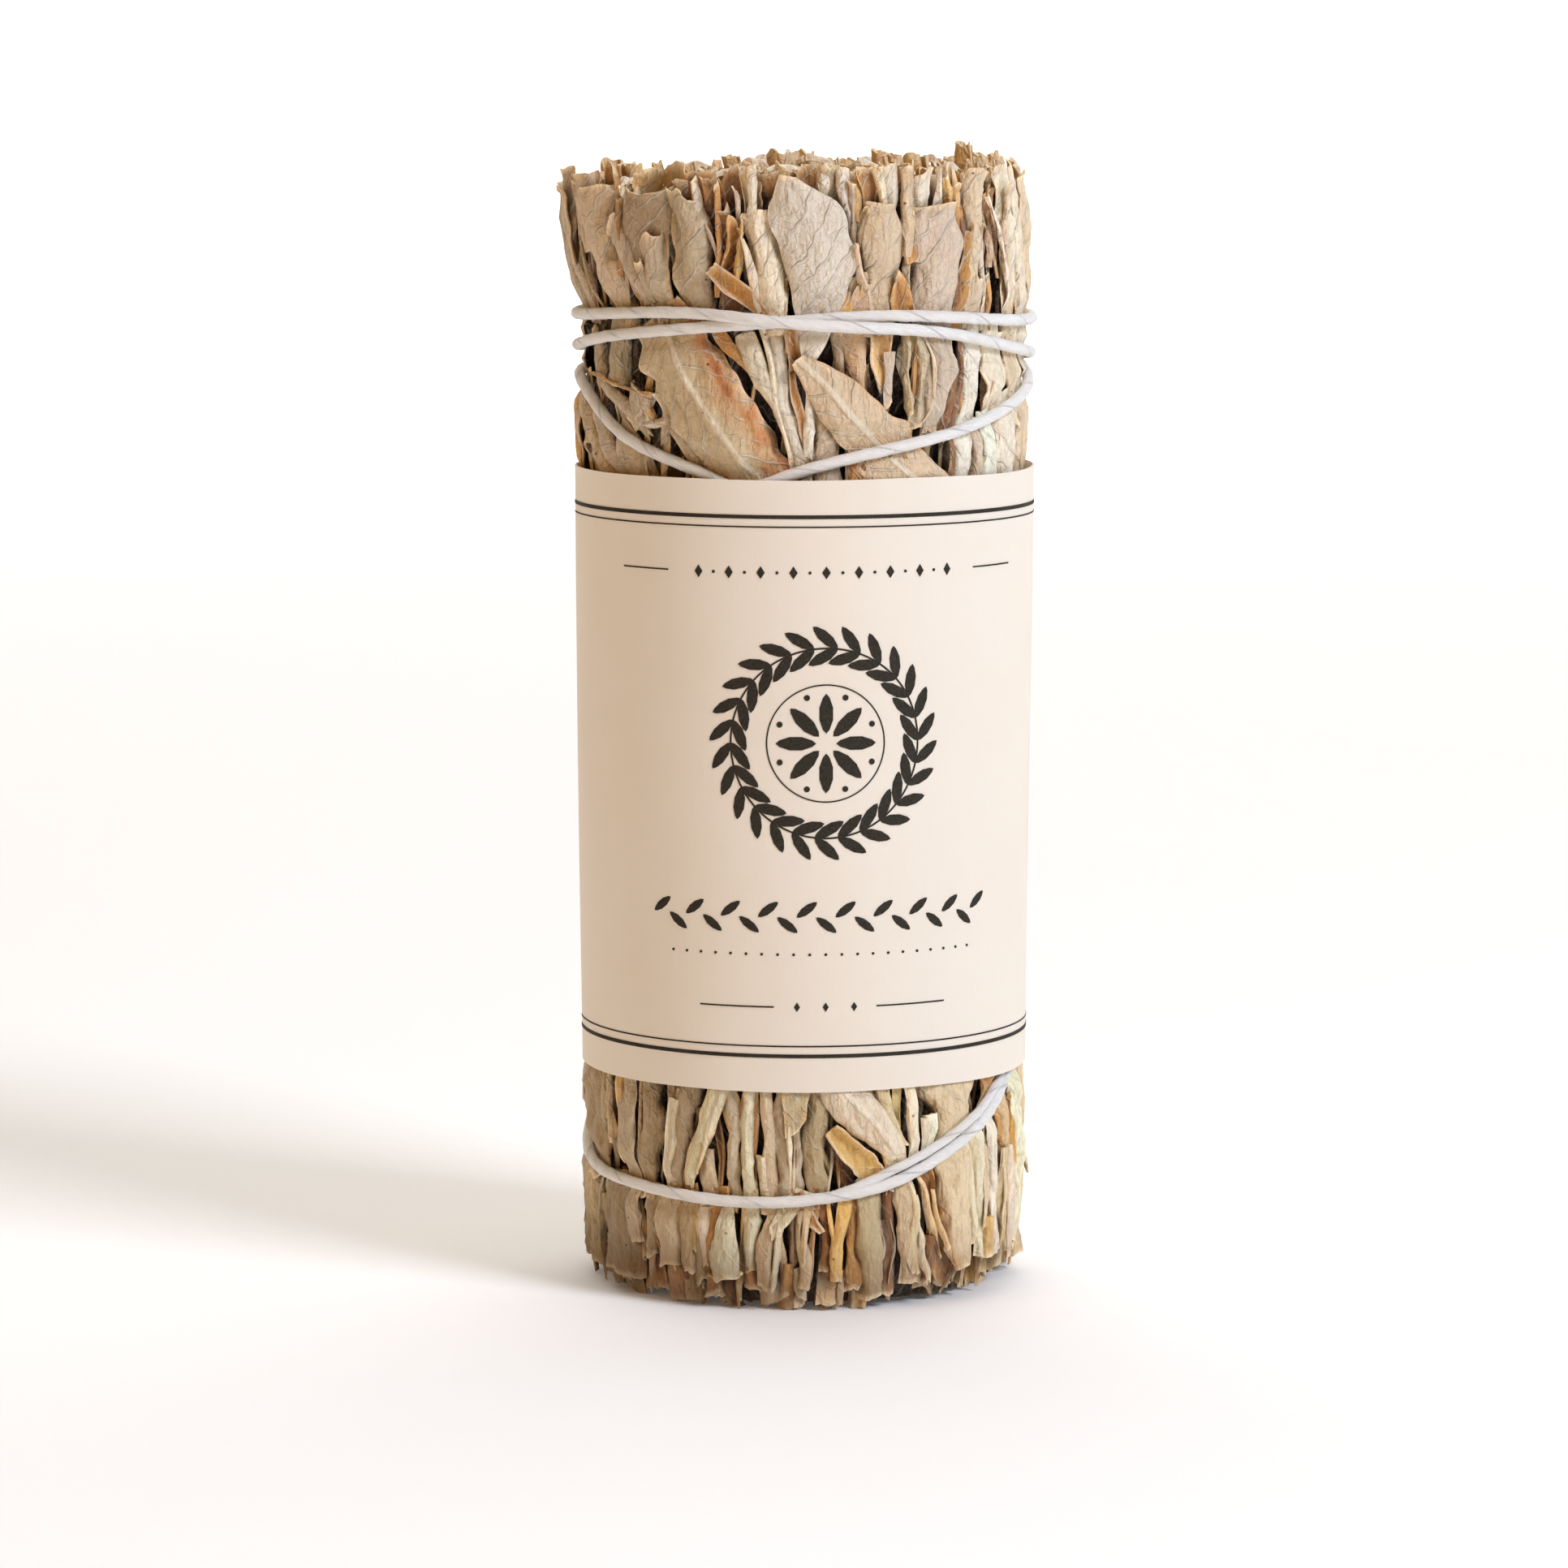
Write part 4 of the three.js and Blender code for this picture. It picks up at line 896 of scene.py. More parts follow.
    def torn(self) -> Array:
        """How far each point moves along the blade, where its ends are cut or torn."""
        leaf, draw, u, across = self.leaf, self.draw, self.u, self.arc[-1:]
        jag = self.TORN * self.ripple(5, 2.6, waves=5)(across, 0 * across)
        jag = jag + self.FRAYED * self.ripple(6, 0.9, waves=6)(across, 0 * across)
        jag = jag + self.FINELY_FRAYED * self.ripple(8, 0.45, waves=6)(across, 0 * across)
        notch = draw.uniform(-0.6, 1.2) * np.exp(-(((u - draw.uniform(-0.6, 0.6)) / 0.22) ** 2))
        lean = leaf.slant if leaf.slant else draw.normal(0, 0.35) * min(1.0, max(leaf.width) / 3)
        shift = self.ending(2.6) ** 1.4 * (leaf.torn * (jag - notch) - lean * u - leaf.dip * (1 - u**2))
        return shift - np.clip(1 - self.place / 2.0, 0, 1) * 0.3 * (1 + jag)


@dataclass
class LeafMaker:
    """Shapes leaves over each other, in the order in which they are laid."""

    bundle: Bundle
    relief: Relief = field(default_factory=Relief)
    laid: list[tuple[Any, ...]] = field(default_factory=list)
    cap: float = 0.95  # how far over the bundle's outside a leaf may stand
    clear: float = 0.05  # air over what lies below
    sag: float = 0.16  # how far it wavers in and out along its length
    unevenness: float = 0.12  # of the levels at which leaves lie
    bleach: float = 0.15  # painted light and shade: how much paler the side towards +X is, and darker the side towards -X
    low: float = 20.0  # leaves that end lower than this are yellower
    yellowed: float = 0.9
    foot_shade: tuple[float, float, float] = (10.0, 0.42, 0.34)  # its height, share and lean to -X
    foot_stain: tuple[float, float] = (6.5, 0.5)  # painted shade, browner towards the floor: its height and share
    # Painted shade: reach, least and most rise of what stands around, and how much that darkens.
    hollows: tuple[tuple[float, float, float, float], ...] = (
        (0.45, 0.02, 0.28, 0.55), (1.1, 0.06, 0.75, 0.66), (2.6, 0.15, 1.40, 0.64),
    )
    glow: Colour = (1.0, 0.90, 0.68)  # warm colour of the painted shade, as light that passes through blades colours it
    open_top: tuple[float, float] = (99.5, 102.5)  # heights between which the top lets light in
    let_in: float = 0.7  # share of the shade that is gone above them
    raised: tuple[float, float, float] = (0.2, 0.03, 0.28)  # painted highlight: how much raised edges lighten, from what rise
    richer: float = 0.6  # how much fuller colours are in the shade
    darker: float = 0.72  # how much darker they are there
    deep: tuple[float, float, float] = (0.82, 0.5, 2.1)  # painted shade: how much lying deep darkens, between depths
    inner: float = 0.6  # share of the inner faces' golden colour, partly their own and partly painted shade and bounce light

    def lay(self, leaf: Leaf, number: int, sheets: Sheets) -> None:
        """Shapes one leaf over what lies there, and adds it.

        Args:
            leaf: The leaf.
            number: Its number, which seeds its own wrinkles.
            sheets: Where its sheet is gathered.
        """
        blade = Blade(leaf, number)
        draw, wild, start = blade.draw, blade.wild, blade.start
        along, across = blade.along, blade.across
        slope = blade.slope()
        step = blade.half * 2 / (blade.columns - 1)
        x, y = (self._summed(part * step) for part in (np.cos(slope), np.sin(slope)))
        lift = blade.lift()
        x, y = x - np.sin(slope) * lift, y - y.max(1, keepdims=True) + np.cos(slope) * lift

        forward = blade.place + blade.torn()
        aside = x + self._bend(blade)
        angle = (start[0] + along[0] * forward + across[0] * aside) / UNROLL / DEG
        height = np.maximum(start[1] + along[1] * forward + across[1] * aside, LOWEST)

        # Laid over what is there, and then pressed by thread and band.
        sag = self.sag * blade.swaying(7, 9.0)
        flare = draw.uniform(-0.55, 0.5) * blade.ending(3.5) ** 2
        level = leaf.level + draw.normal(0, self.unevenness)
        lip = draw.uniform(-0.2, 0.55) * np.clip(1 - blade.left / 0.9, 0, 1) ** 2
        lip = lip * (leaf.end[1] > PAPER_EDGE[1] + 20)
        free = self.bundle.free(height, angle)
        out = free + level + sag * (0.3 + 0.7 * wild) + flare * wild + lip + y
        outward = np.clip(np.cos(slope), 0, 1)
        need = self.relief.under(angle, height) + BLADE + self.clear - out
        out = out + self._smooth(np.clip(need, 0, 1.0) * leaf.form.value.conform * outward**1.5)
        out = soft_least(out, free + self.cap, 0.1)
        self.relief.lay(angle, height, out, np.broadcast_to(outward > 0.25, out.shape))

        thick = BLADE * (1 - 0.55 * np.abs(blade.u) ** 3) * (1 - 0.45 * blade.ending(1.2) ** 2)
        back_turn = angle + np.sin(slope) * across[0] * thick / UNROLL / DEG
        back_height = np.maximum(height + np.sin(slope) * across[1] * thick, LOWEST)
        faces = (
            self._placed(angle, out, height),
            self._placed(back_turn, out - np.cos(slope) * thick, back_height),
        )
        beside = 0.0 if leaf.rib else 0.7  # away from the drawn midrib
        uv = np.stack(np.broadcast_arrays(blade.arc * 0.1 + beside, blade.place * 0.1 + number * 1.37), -1)
        tints = self._tints(blade, free - out, angle, height)
        down = blade.facing < 0
        where = [(grid[::-1] if down else grid).ravel() for grid in (angle, height, out)]
        self.laid.append((sheets, len(sheets.tint), *where))
        sheets.add(faces, uv, tints, down)

    @staticmethod
    def _bend(blade: Blade) -> Array:
        """The leaf's own bend to the side."""
        wander = 0.22 * min(1.0, blade.widest / 2) * (blade.wild + 0.2)
        return blade.leaf.bow * np.sin(math.pi * blade.t) + wander * blade.swaying(9, 8.0)

    def _shade_left(self, height: Array) -> Array:
        """Share of the shade that is left where the open top lets light in."""
        return 1 - self.let_in * smoothstep(height, *self.open_top)

    def settle(self) -> None:
        """Paints shade on each blade where others stand over it, and paints highlights on its raised edges.
        """
        evened = [self.relief.evened(reach) for reach, *_ in self.hollows]
        for sheets, first, angle, height, out in self.laid:
            sky = np.ones(out.shape)
            for grid, (_, low, high, share) in zip(evened, self.hollows):
                over = self.relief.under(angle, height, grid) - out
                sky = sky * (1 - share * smoothstep(over, low, high))
            near = out - self.relief.under(angle, height, evened[0])
            lit = 1 + self.raised[0] * smoothstep(near, *self.raised[1:])[:, None]
            hidden = ((1 - sky) * self._shade_left(height))[:, None]
            for face in (first, first + 1):
                tint = np.clip(sheets.tint[face], 0, 1) ** (1 + self.richer * hidden)
                dim = np.array(self.glow) ** hidden * (1 - self.darker * hidden)
                sheets.tint[face] = tint * dim * lit

    def _tints(self, blade: Blade, sunk: Array, angle: Array, height: Array) -> list[Array]:
        """Colours of the outer and the inner face.

        Args:
            blade: The blade.
            sunk: How far below the bundle's outside it lies, which darkens it with painted shade.
            angle: Angles in degrees; the side towards +X gets painted light, the side towards -X painted
                shade.
            height: Heights; the lowest ends get painted shade.

        Returns:
            Two grids of colours.
        """
        leaf, draw, arc, left = blade.leaf, blade.draw, blade.arc, blade.left
        turned = np.sin(angle * DEG)
        # Painted light and shade: paler towards +X, where the key lamp stands, darker towards -X.
        shade = 1 + 0.07 * draw.normal(0, 1) + self.bleach * turned[..., None]
        warm = np.array([1 + 0.02 * draw.normal(0, 1), 1.0, 0.97 + 0.045 * draw.normal(0, 1)])
        warm = warm * np.array([1.0, 1.0, 1.0 if leaf.end[1] > self.low else self.yellowed])
        seed = int(abs(leaf.root[0]) * 7) % 997
        streaks = Ripple(seed, 4.0, waves=4)(2.0 * blade.u, 12 * blade.t)
        patches = 0.62 + 0.55 * Ripple(seed + 1, 1.7, 1.4, 6)(arc, left)
        blush = leaf.blush * (0.6 + 0.7 * blade.t) * blade.u * 2.0 - 0.95 + 0.25 * streaks
        blush = (np.clip(blush, 0, 0.95) * np.clip(patches, 0.4, 1))[..., None]
        rusty = np.clip(patches - 1.15, 0, 0.5)[..., None] * 2 * (blush > 0.15)
        edge = 0.5 * np.clip((np.abs(arc) - arc[:, -1:] + 0.30) / 0.22, 0, 1)[..., None]
        edge_tone = draw.choice([Tone.PALE, Tone.YELLOW, Tone.OCHRE], p=[0.5, 0.35, 0.15])
        burnt = np.clip(1 - left / draw.uniform(0.6, 2.2), 0, 1) ** 1.5 * draw.uniform(0.1, 0.6)
        # Painted highlight along the free end.
        lip = np.clip(1 - left / 0.55, 0, 1) * draw.uniform(0.5, 1.0)
        # Painted shade on blades that lie deep below the bundle's outside.
        depth = smoothstep(sunk, *self.deep[1:]) * self.deep[0] * self._shade_left(height)
        # Painted shade by the foot: browner and darker towards the floor, and darker towards -X.
        reach, share, lean = self.foot_shade
        shaded = np.clip(1 - height / reach, 0, 1) ** 1.1 * (share - lean * turned)
        foot = np.clip(1 - height / self.foot_stain[0], 0, 1) * self.foot_stain[1]
        made = []
        for inner in (False, True):
            base = np.broadcast_to(np.array(leaf.tone.value) * shade * warm, (*sunk.shape, 3))
            if inner:
                base = mixed(base, INSIDE, self.inner)
            for share, tone in (
                (blush, BLUSH), (rusty, RUST), (edge, edge_tone.value),
                (burnt[..., None], Tone.OCHRE.value), (foot[..., None], Tone.BROWN.value),
                (lip[..., None], PAINTED_HIGHLIGHT), (np.maximum(depth, shaded)[..., None], PAINTED_SHADE),
            ):
                base = mixed(base, tone, share)
            made.append(base)
        return made

    def _placed(self, angle: Array, out: Array, height: Array) -> Array:
        """Points from angles, distances before pressing, and heights."""
        return round_axis(self.bundle.pressed(out, angle, height), angle * DEG, height)

    @staticmethod
    def _summed(steps: Array) -> Array:
        """Running sum across the columns, zero at the middle one."""
        total = np.concatenate(
            [np.zeros((len(steps), 1)), np.cumsum((steps[:, 1:] + steps[:, :-1]) / 2, 1)], 1
        )
        return total - total[:, [steps.shape[1] // 2]]

    @staticmethod
    def _smooth(grid: Array, passes: int = 3) -> Array:
        """Evens a grid out over its neighbours."""
        for axis in (0, 1) * passes:
            ends = np.concatenate([grid.take([0], axis), grid, grid.take([-1], axis)], axis)
            size = grid.shape[axis]
            parts = [ends.take(range(k, k + size), axis) for k in range(3)]
            grid = (parts[0] + 2 * parts[1] + parts[2]) / 4
        return grid


@dataclass
class Sprigs:
    """The centre sprig, the ring round it, and the outer ring with its chosen leaves."""

    bundle: Bundle
    material: Material
    centre_reach: float = 3.85
    middle_reach: tuple[float, float] = (4.15, 12.5)
    outer_from: float = 13.3
    core_ends: tuple[float, float] = (0.5, 96.6)
    foot_turn: int = 3  # the thread's turn by the foot
    over_thread: float = 0.25  # leaves that stand out more may end beside the thread

    def build(self) -> None:
        """Lays every leaf and every cut end, and makes one piece for each sprig."""
        names = [sprig_at(ring, 360 * k / count) for ring, count in SPRIGS.items() for k in range(count)]
        sheets = {name: Sheets() for name in (*names, "centre_sprig")}
        self._cores(sheets)
        rule = Backdrop(11)
        laid = rule.deep() + rule.slivers()
        behind, draw = len(laid), np.random.default_rng(77)
        laid += rule.back()
        laid += leaves(ABOVE_THREAD) + leaves(BETWEEN)
        laid += [self._tucked(leaf) for leaf in leaves(BELOW_BAND)]
        maker = LeafMaker(self.bundle)
        for number, leaf in enumerate(laid):
            own = sheets[sprig_at("outer", 0.7 * leaf.root[0] + 0.3 * leaf.end[0])]
            maker.lay(leaf, number * 11, own)
            flap = self._flap(leaf, draw) if number >= behind else None
            if flap is not None:
                maker.lay(flap, number * 11 + 5000, own)
        maker.settle()
        CutEnds().lay(lambda x, y: sheets[self._owner(x, y)])
        for name, gathered in sheets.items():
            place_piece(gathered.mesh(f"{name}_leaves"), self.material, "sage_leaf", name)

    def _tucked(self, leaf: Leaf) -> Leaf:
        """A leaf by the foot, with an end that would show beside the thread put under it."""
        turned = (self.foot_turn * 360 + spot[0] for spot in (leaf.end, leaf.root))
        low, high = (float(self.bundle.thread.centre(place)[1]) for place in turned)
        if leaf.level >= self.over_thread:
            return leaf
        if 0 < leaf.root[1] - high < 3 and leaf.end[1] < high - 3:
            return replace(leaf, root=(leaf.root[0], high + 0.1))
        if abs(leaf.end[1] - low) < 2.5 and leaf.root[1] > low + 3:
            return replace(leaf, end=(leaf.end[0], low - 1.2))
        return leaf

    @staticmethod
    def _flap(leaf: Leaf, draw: Draw) -> Leaf | None:
        """A narrower blade that lies along one side of a leaf, as its folded-over half.

        Args:
            leaf: The leaf below.
            draw: The random draws.

        Returns:
            The flap, or nothing for slivers and for the broad blades.
        """
        wide = max(leaf.width)
        chance, side, share = draw.random(), draw.choice([-1, 1]), draw.uniform(0.32, 0.6)
        trim = draw.uniform(0, 0.3, 2)
        if not FLAP_WIDTHS[0] < wide < FLAP_WIDTHS[1] or chance > FLAPS or leaf.form in (T, V):
            return None
        start, run = leaf.line()
        along = run / np.linalg.norm(run)
        aside = np.array([along[1], -along[0]]) * side * (1 - share) / 2 * wide * 0.95
        low, high = start + run * trim[0] + aside, start + run * (1 - trim[1]) + aside
        tone = leaf.tone if draw.random() < 0.6 else draw.choice([Tone.PALE, Tone.BEIGE, Tone.YELLOW])
        width = tuple(share * w for w in (*leaf.width, leaf.width[-1] * 0.5))
        ends = [(float(spot[0] / UNROLL / DEG), float(spot[1])) for spot in (low, high)]
        return Leaf(ends[0], ends[1], width, draw.choice([A, C, V]), tone, leaf.level + 0.12, 0.6, fine=0.9)

    def _owner(self, x: float, y: float) -> str:
        """The sprig that a place in the cut face belongs to."""
        out, angle = math.hypot(x, y), math.degrees(math.atan2(x, -y))
        if out < self.centre_reach:
            return "centre_sprig"
        return sprig_at("middle" if out < self.middle_reach[1] else "outer", angle)

    def _cores(self, sheets: dict[str, Sheets]) -> None:
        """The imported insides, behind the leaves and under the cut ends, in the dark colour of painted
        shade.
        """
        for ring, count in SPRIGS.items():
            rows, columns, share = (60, 25, 0.5) if ring == "outer" else (12, 31, 0.49)
            heights = np.linspace(*self.core_ends, rows)[:, None]
            for number in range(count):
                ends = ((number + side * share) * 360 / count for side in (-1, 1))
                angles = np.linspace(*ends, columns)[None, :]
                if ring == "outer":
                    folds = 0.35 * np.abs(np.sin(angles * 0.9 + 0.02 * heights))
                    out = self.bundle.free(heights, angles) - 2.6 + folds
                    out, inner = self.bundle.pressed(out, angles, heights), self.outer_from
                else:
                    out = self.middle_reach[1] - 0.4 * np.abs(np.sin(angles * 0.4)) + 0 * heights
                    inner = self.middle_reach[0]
                turn = angles * DEG + 0 * out
                faces = [round_axis(reach, turn, heights) for reach in (out, inner + 0 * out)]
                self._add_dark(sheets[sprig_at(ring, 360 * number / count)], faces)
        turn = np.linspace(-0.5, 0.5, 13)[None, :] * math.pi + 0 * heights
        across = self.centre_reach * np.cos(turn) + 0.02
        along = self.centre_reach * np.sin(turn)
        faces = [np.stack([side * across, along, heights + 0 * turn], -1) for side in (1, -1)]
        self._add_dark(sheets["centre_sprig"], faces)

    @staticmethod
    def _add_dark(sheets: Sheets, faces: list[Array]) -> None:
        """Adds a block in the dark colour of painted shade."""
        tint = np.broadcast_to(np.array(PAINTED_SHADE), faces[0].shape)
        sheets.add(faces, faces[0][..., [0, 2]] * 0.1, (tint, tint))


class EndShape(Enum):
    """What a cut end looks like from above."""

    ROLL = "roll"
    CURL = "curl"
    FOLD = "fold"
    WAVE = "wave"


@dataclass(frozen=True)
class End:
    """One cut end in the face of the bundle."""

    x: float
    y: float
    top: float
    shape: EndShape
    tone: Tone
    turn: float
    size: float
    lean: tuple[float, float] = (0.0, 0.0)


# Curled scraps that lie on the cut face: x, y, height, turn, length, width and tone.
SCRAPS = """
-17 -6 103 20 3 1.6 PEACH
-12.5 -12 103.1 -10 4 1.4 PALE
-9 -9.5 103.7 35 3.2 1.2 YELLOW
-6 -14.5 103.4 5 3.6 1.3 PALE
-3.4 -8 104.4 -20 3 1.8 PEACH
-0.8 -13 103.9 10 4.4 1.2 PALE
1.8 -6 104.6 -5 3.2 1.5 PEACH
3.6 -14 103.8 25 3.4 1.2 YELLOW
6.4 -10 104.2 -15 3 1.3 PALE
9 -13.5 103.9 0 3.6 1.2 BEIGE
12.2 -6 104.5 15 2.8 1.5 PEACH
14 -11 104 -30 3 1.2 PALE
17 -5 104 30 2.6 1.3 PALE
-3 3 104.3 70 3.4 1.5 BEIGE
7 6 104.2 -50 3.2 1.4 PALE
-9 9 103.6 15 3.6 1.3 PEACH
-14.6 -11 102.8 25 3.2 1.6 PALE
-11.6 -14 102.5 -12 3.4 1.4 PALE
-9 -15.2 102.8 12 3 1.3 PALE
-13 -8.6 103.4 40 3 1.5 YELLOW
"""

# Ends that stand at chosen places: x, y, height, shape, tone, turn, size and lean.
STANDING_ENDS = """
-16.6 -5 104 CURL PEACH 0.4 1.4
-14.6 -9 103.8 ROLL YELLOW 0.2 1.2
-12.2 -6 103.7 CURL YELLOW 1.2 1.2
-9.8 -10 103.8 FOLD PALE 0.3 1.2
-5.5 -3 104.3 FOLD BEIGE 0.1 0.9
-1.2 -1 104.7 CURL PEACH 2.2 1.6
0.6 2 104.6 WAVE PALE 0 0.9
3.4 -5 104.2 FOLD BEIGE 0.5 0.8
8.2 1 104.6 CURL PEACH 1.6 1.1
9.3 -4 104.5 ROLL PALE 0 0.9
11.1 -8 104.5 CURL YELLOW 0.2 1.2
15 -6.5 105.6 FOLD YELLOW -0.2 0.9 0.7
16 -7.6 103.9 CURL PEACH 0.8 0.8 0.4
18 -3 103.9 CURL YELLOW 1 0.9
"""


def rows(table: str) -> list[list[Any]]:
    """Reads a table of numbers, shapes and tones, one row to a line."""
    names = {**Tone.__members__, **EndShape.__members__}
    lines = table.strip().splitlines()
    return [[names[w] if w in names else float(w) for w in line.split()] for line in lines]


@dataclass(frozen=True)
class CutEnds:
    """Rolled, curled and folded ends that fill the cut faces."""

    SHAPES = dict(zip(EndShape, (0.34, 0.28, 0.24, 0.14)))
    TONES = {
        Tone.BEIGE: 0.22, Tone.PALE: 0.24, Tone.OCHRE: 0.1, Tone.YELLOW: 0.16, Tone.PEACH: 0.14,
        Tone.GREY: 0.08, Tone.DIM: 0.06,
    }

    seed: int = 31
    reach: float = 18.7
    gap: float = 2.05
    aside: float = -1.1  # the top leans with the leaves round it
    blade: float = 0.34
    scrap_blade: float = 0.28
    scrap_bend: tuple[float, float] = (-1.25, 1.35)  # from margin to margin, in radians
    top_from: float = 90.0
    foot_from: float = 11.0
    middle_top: float = 102.6
    lit: tuple[float, float] = (0.6, 102.9)  # painted shade: between these heights it gets dark
    dim_within: float = 3.4  # painted shade: how far inside them it is dark
    darkest: float = 0.95
    foot_dark: float = 0.32  # painted shade at the foot's middle, more towards -X
    pale_edge: float = 0.7  # painted highlight: how far below its end a blade is paler
    jags: tuple[float, float] = (0.24, 0.07)  # coarse and fine
    levels: tuple[float, ...] = (0, 0.45, 0.68, 0.83, 0.92, 0.97, 1.0)  # rows, closer near the end

    def lay(self, owner: Callable[[float, float], Sheets]) -> None:
        """Adds every end to the sprig that holds it.

        Args:
            owner: Gives the sheets for a place in the face.
        """
        draw = np.random.default_rng(self.seed)
        standing = [End(*row[:7], (sum(row[7:]), 0.0)) for row in rows(STANDING_ENDS)]
        for end in standing:
            self._add(end, draw, owner(end.x, end.y), self.top_from)
        for number, scrap in enumerate(rows(SCRAPS)):
            self._lie(number, scrap, owner(*scrap[:2]))
        for x, y in self._spread(draw, [(end.x, end.y) for end in standing]):
            angle = math.degrees(math.atan2(x, -y))
            share = math.hypot(x, y) / self.reach
            mean = share * cut_top(angle) + (1 - share) * self.middle_top
            top = mean + float(np.clip(draw.normal(0.1, 0.75), -1.8, 0.7))
            self._add(self._drawn(draw, x, y, top), draw, owner(x, y), self.top_from)
        for x, y in self._spread(draw, []):
            foot = abs(draw.normal(0, 1.0)) + 0.05
            self._add(self._drawn(draw, x, y, foot), draw, owner(x, y), self.foot_from)

    def _lie(self, number: int, scrap: Sequence[Any], sheets: Sheets) -> None:
        """Adds a curled scrap that lies on the cut face.

        Args:
            number: Its number, which seeds its waves.
            scrap: Place, turn in degrees, length, width and tone.
            sheets: Where its sheet is gathered.
        """
        x, y, level, turn, length, width, tone = scrap
        share = np.linspace(-1, 1, 13)[:, None]
        bend = np.linspace(*self.scrap_bend, 9)[None, :]
        wave = Ripple(500 + number, 2.6, waves=4)
        cos, sin = math.cos(turn * DEG), math.sin(turn * DEG)
        along = share * length / 2 + 0.35 * wave(bend * 1.2, 0 * share) * share**3
        reach = width / 2 * (1 - 0.35 * share**2) * (1 + 0.15 * wave(0 * bend, share * 3))
        faces = []
        for depth in (0.0, self.scrap_blade):
            aside = (reach - depth) * np.sin(bend) + 0.25 * wave(0 * bend, share * 2)
            up = (reach - depth) * np.cos(bend) - width / 2 - 0.5 * share**2
            place = x + self.aside + cos * along + sin * aside, y + sin * along - cos * aside
            faces.append(np.stack([*place, level + up], -1))
        uv = np.stack([aside * 0.1, along * 0.1 + number], -1)
        # Painted highlight along the scrap's edges.
        edge = np.clip(np.maximum(abs(share) + 0 * bend, abs(bend) / 1.3) - 0.8, 0, 0.2)[..., None] * 5
        sheets.add(faces, uv, [mixed(np.array(colour), PAINTED_HIGHLIGHT, edge) for colour in (tone.value, GOLD)])

    def _spread(self, draw: Draw, taken: list[tuple[float, float]]) -> list[Any]:
        """Places in a disc that keep a gap from each other."""
        found = []
        for _ in range(6000):
            out, turn = self.reach * math.sqrt(draw.random()), draw.uniform(0, 2 * math.pi)
            spot = (out * math.sin(turn), -out * math.cos(turn))
            if all(math.dist(spot, other) > self.gap for other in (*taken, *found)):
                found.append(spot)
        return found

    def _drawn(self, draw: Draw, x: float, y: float, top: float) -> End:
        """An end with drawn shape, size and colour."""
        shape = picked(draw, self.SHAPES)
        lean = (draw.normal(0, 0.35), draw.normal(0, 0.35))
        room = (self.reach + 0.4 - math.hypot(x, y)) + 0.7
        size = min(draw.uniform(0.65, 1.4), room)
        return End(x, y, top, shape, picked(draw, self.TONES), draw.uniform(0, 6.3), size, lean)

    def _plan(self, end: End, draw: Draw) -> Array:
        """The end's line from above, counter-clockwise where it is rolled."""
        if end.shape is EndShape.ROLL:
            share = np.linspace(0, 1, 22)
            turn = share * draw.uniform(1.25, 2.0) * 2 * math.pi
            out = end.size * (0.28 + 0.72 * share)
            line = [out * np.cos(turn), out * np.sin(turn) * draw.uniform(0.6, 1)]
        elif end.shape is EndShape.CURL:
            turn = np.linspace(0, draw.uniform(3.4, 5.4), 16)
            out = end.size * (1 - 0.06 * turn)
            line = [out * np.cos(turn), out * np.sin(turn) * draw.uniform(0.55, 1)]
        elif end.shape is EndShape.FOLD:
            legs = np.linspace(-1, 1, 17)
            wide = 0.24 + 0.3 * np.abs(legs) * draw.uniform(0.4, 1.5)
            line = [1.5 * end.size * (np.abs(legs) ** 1.2 - 0.5), wide * np.tanh(legs * 5)]
        else:
            share = np.linspace(-1, 1, 15)
            sway = 0.35 * np.sin(share * draw.uniform(3, 6) + draw.uniform(0, 6))
            line = [1.5 * end.size * share, sway]
        cos, sin = math.cos(end.turn), math.sin(end.turn)
        return np.stack(line, 1) @ np.array([[cos, sin], [-sin, cos]])

    def _add(self, end: End, draw: Draw, sheets: Sheets, start: float) -> None:
        """Adds one end as a thin sheet that stands from inside the bundle to its face."""
        plan = self._plan(end, draw)
        tangent = np.gradient(plan, axis=0)
        tangent = tangent / np.linalg.norm(tangent, axis=1, keepdims=True)
        normal = np.stack([tangent[:, 1], -tangent[:, 0]], 1)
        share = np.array(self.levels)[:, None]
        spot = np.arange(len(plan)) * 0.3
        number = int(draw.integers(1, 9999))
        jag = self.jags[0] * Ripple(number, 2.4, waves=5)(spot, spot)
        jag = jag + self.jags[1] * Ripple(number + 1, 0.8)(spot, spot)
        height = np.maximum(start + (end.top - start) * share + jag[None, :] * share**5, 0.03)
        grow = 1 + 0.12 * draw.normal(0, 1) * share**3
        sway = 0.10 * Ripple(number + 2, 3.5)(spot[None, :], height)
        faces = []
        for depth in (0.0, self.blade):
            flat = plan[None] * grow[..., None] + normal[None] * (sway[..., None] - depth)
            shift = (end.lean[0] + (self.aside if end.top > start else 0.0)) * share**2
            x = end.x + flat[..., 0] + shift
            y = end.y + flat[..., 1] + end.lean[1] * share**2
            faces.append(np.stack([x, y, height], -1))
        uv = np.stack([spot[None, :] * 0.1 + 0 * height, height * 0.1 + number], -1)
        away = np.abs(height - end.top)[..., None]
        # Painted shade, deeper inside the cut face, and at the foot more towards -X.
        below = (self.lit[1] - height if end.top > start else height - self.lit[0])[..., None]
        dark = np.clip(below / self.dim_within, 0, 1) ** 1.3 * self.darkest
        if end.top < start:
            dark = np.maximum(dark, self.foot_dark * (1 - end.x / self.reach))
        burnt = np.clip(1 - away / draw.uniform(1.2, 3.0), 0, 1) * draw.uniform(0.4, 0.9)
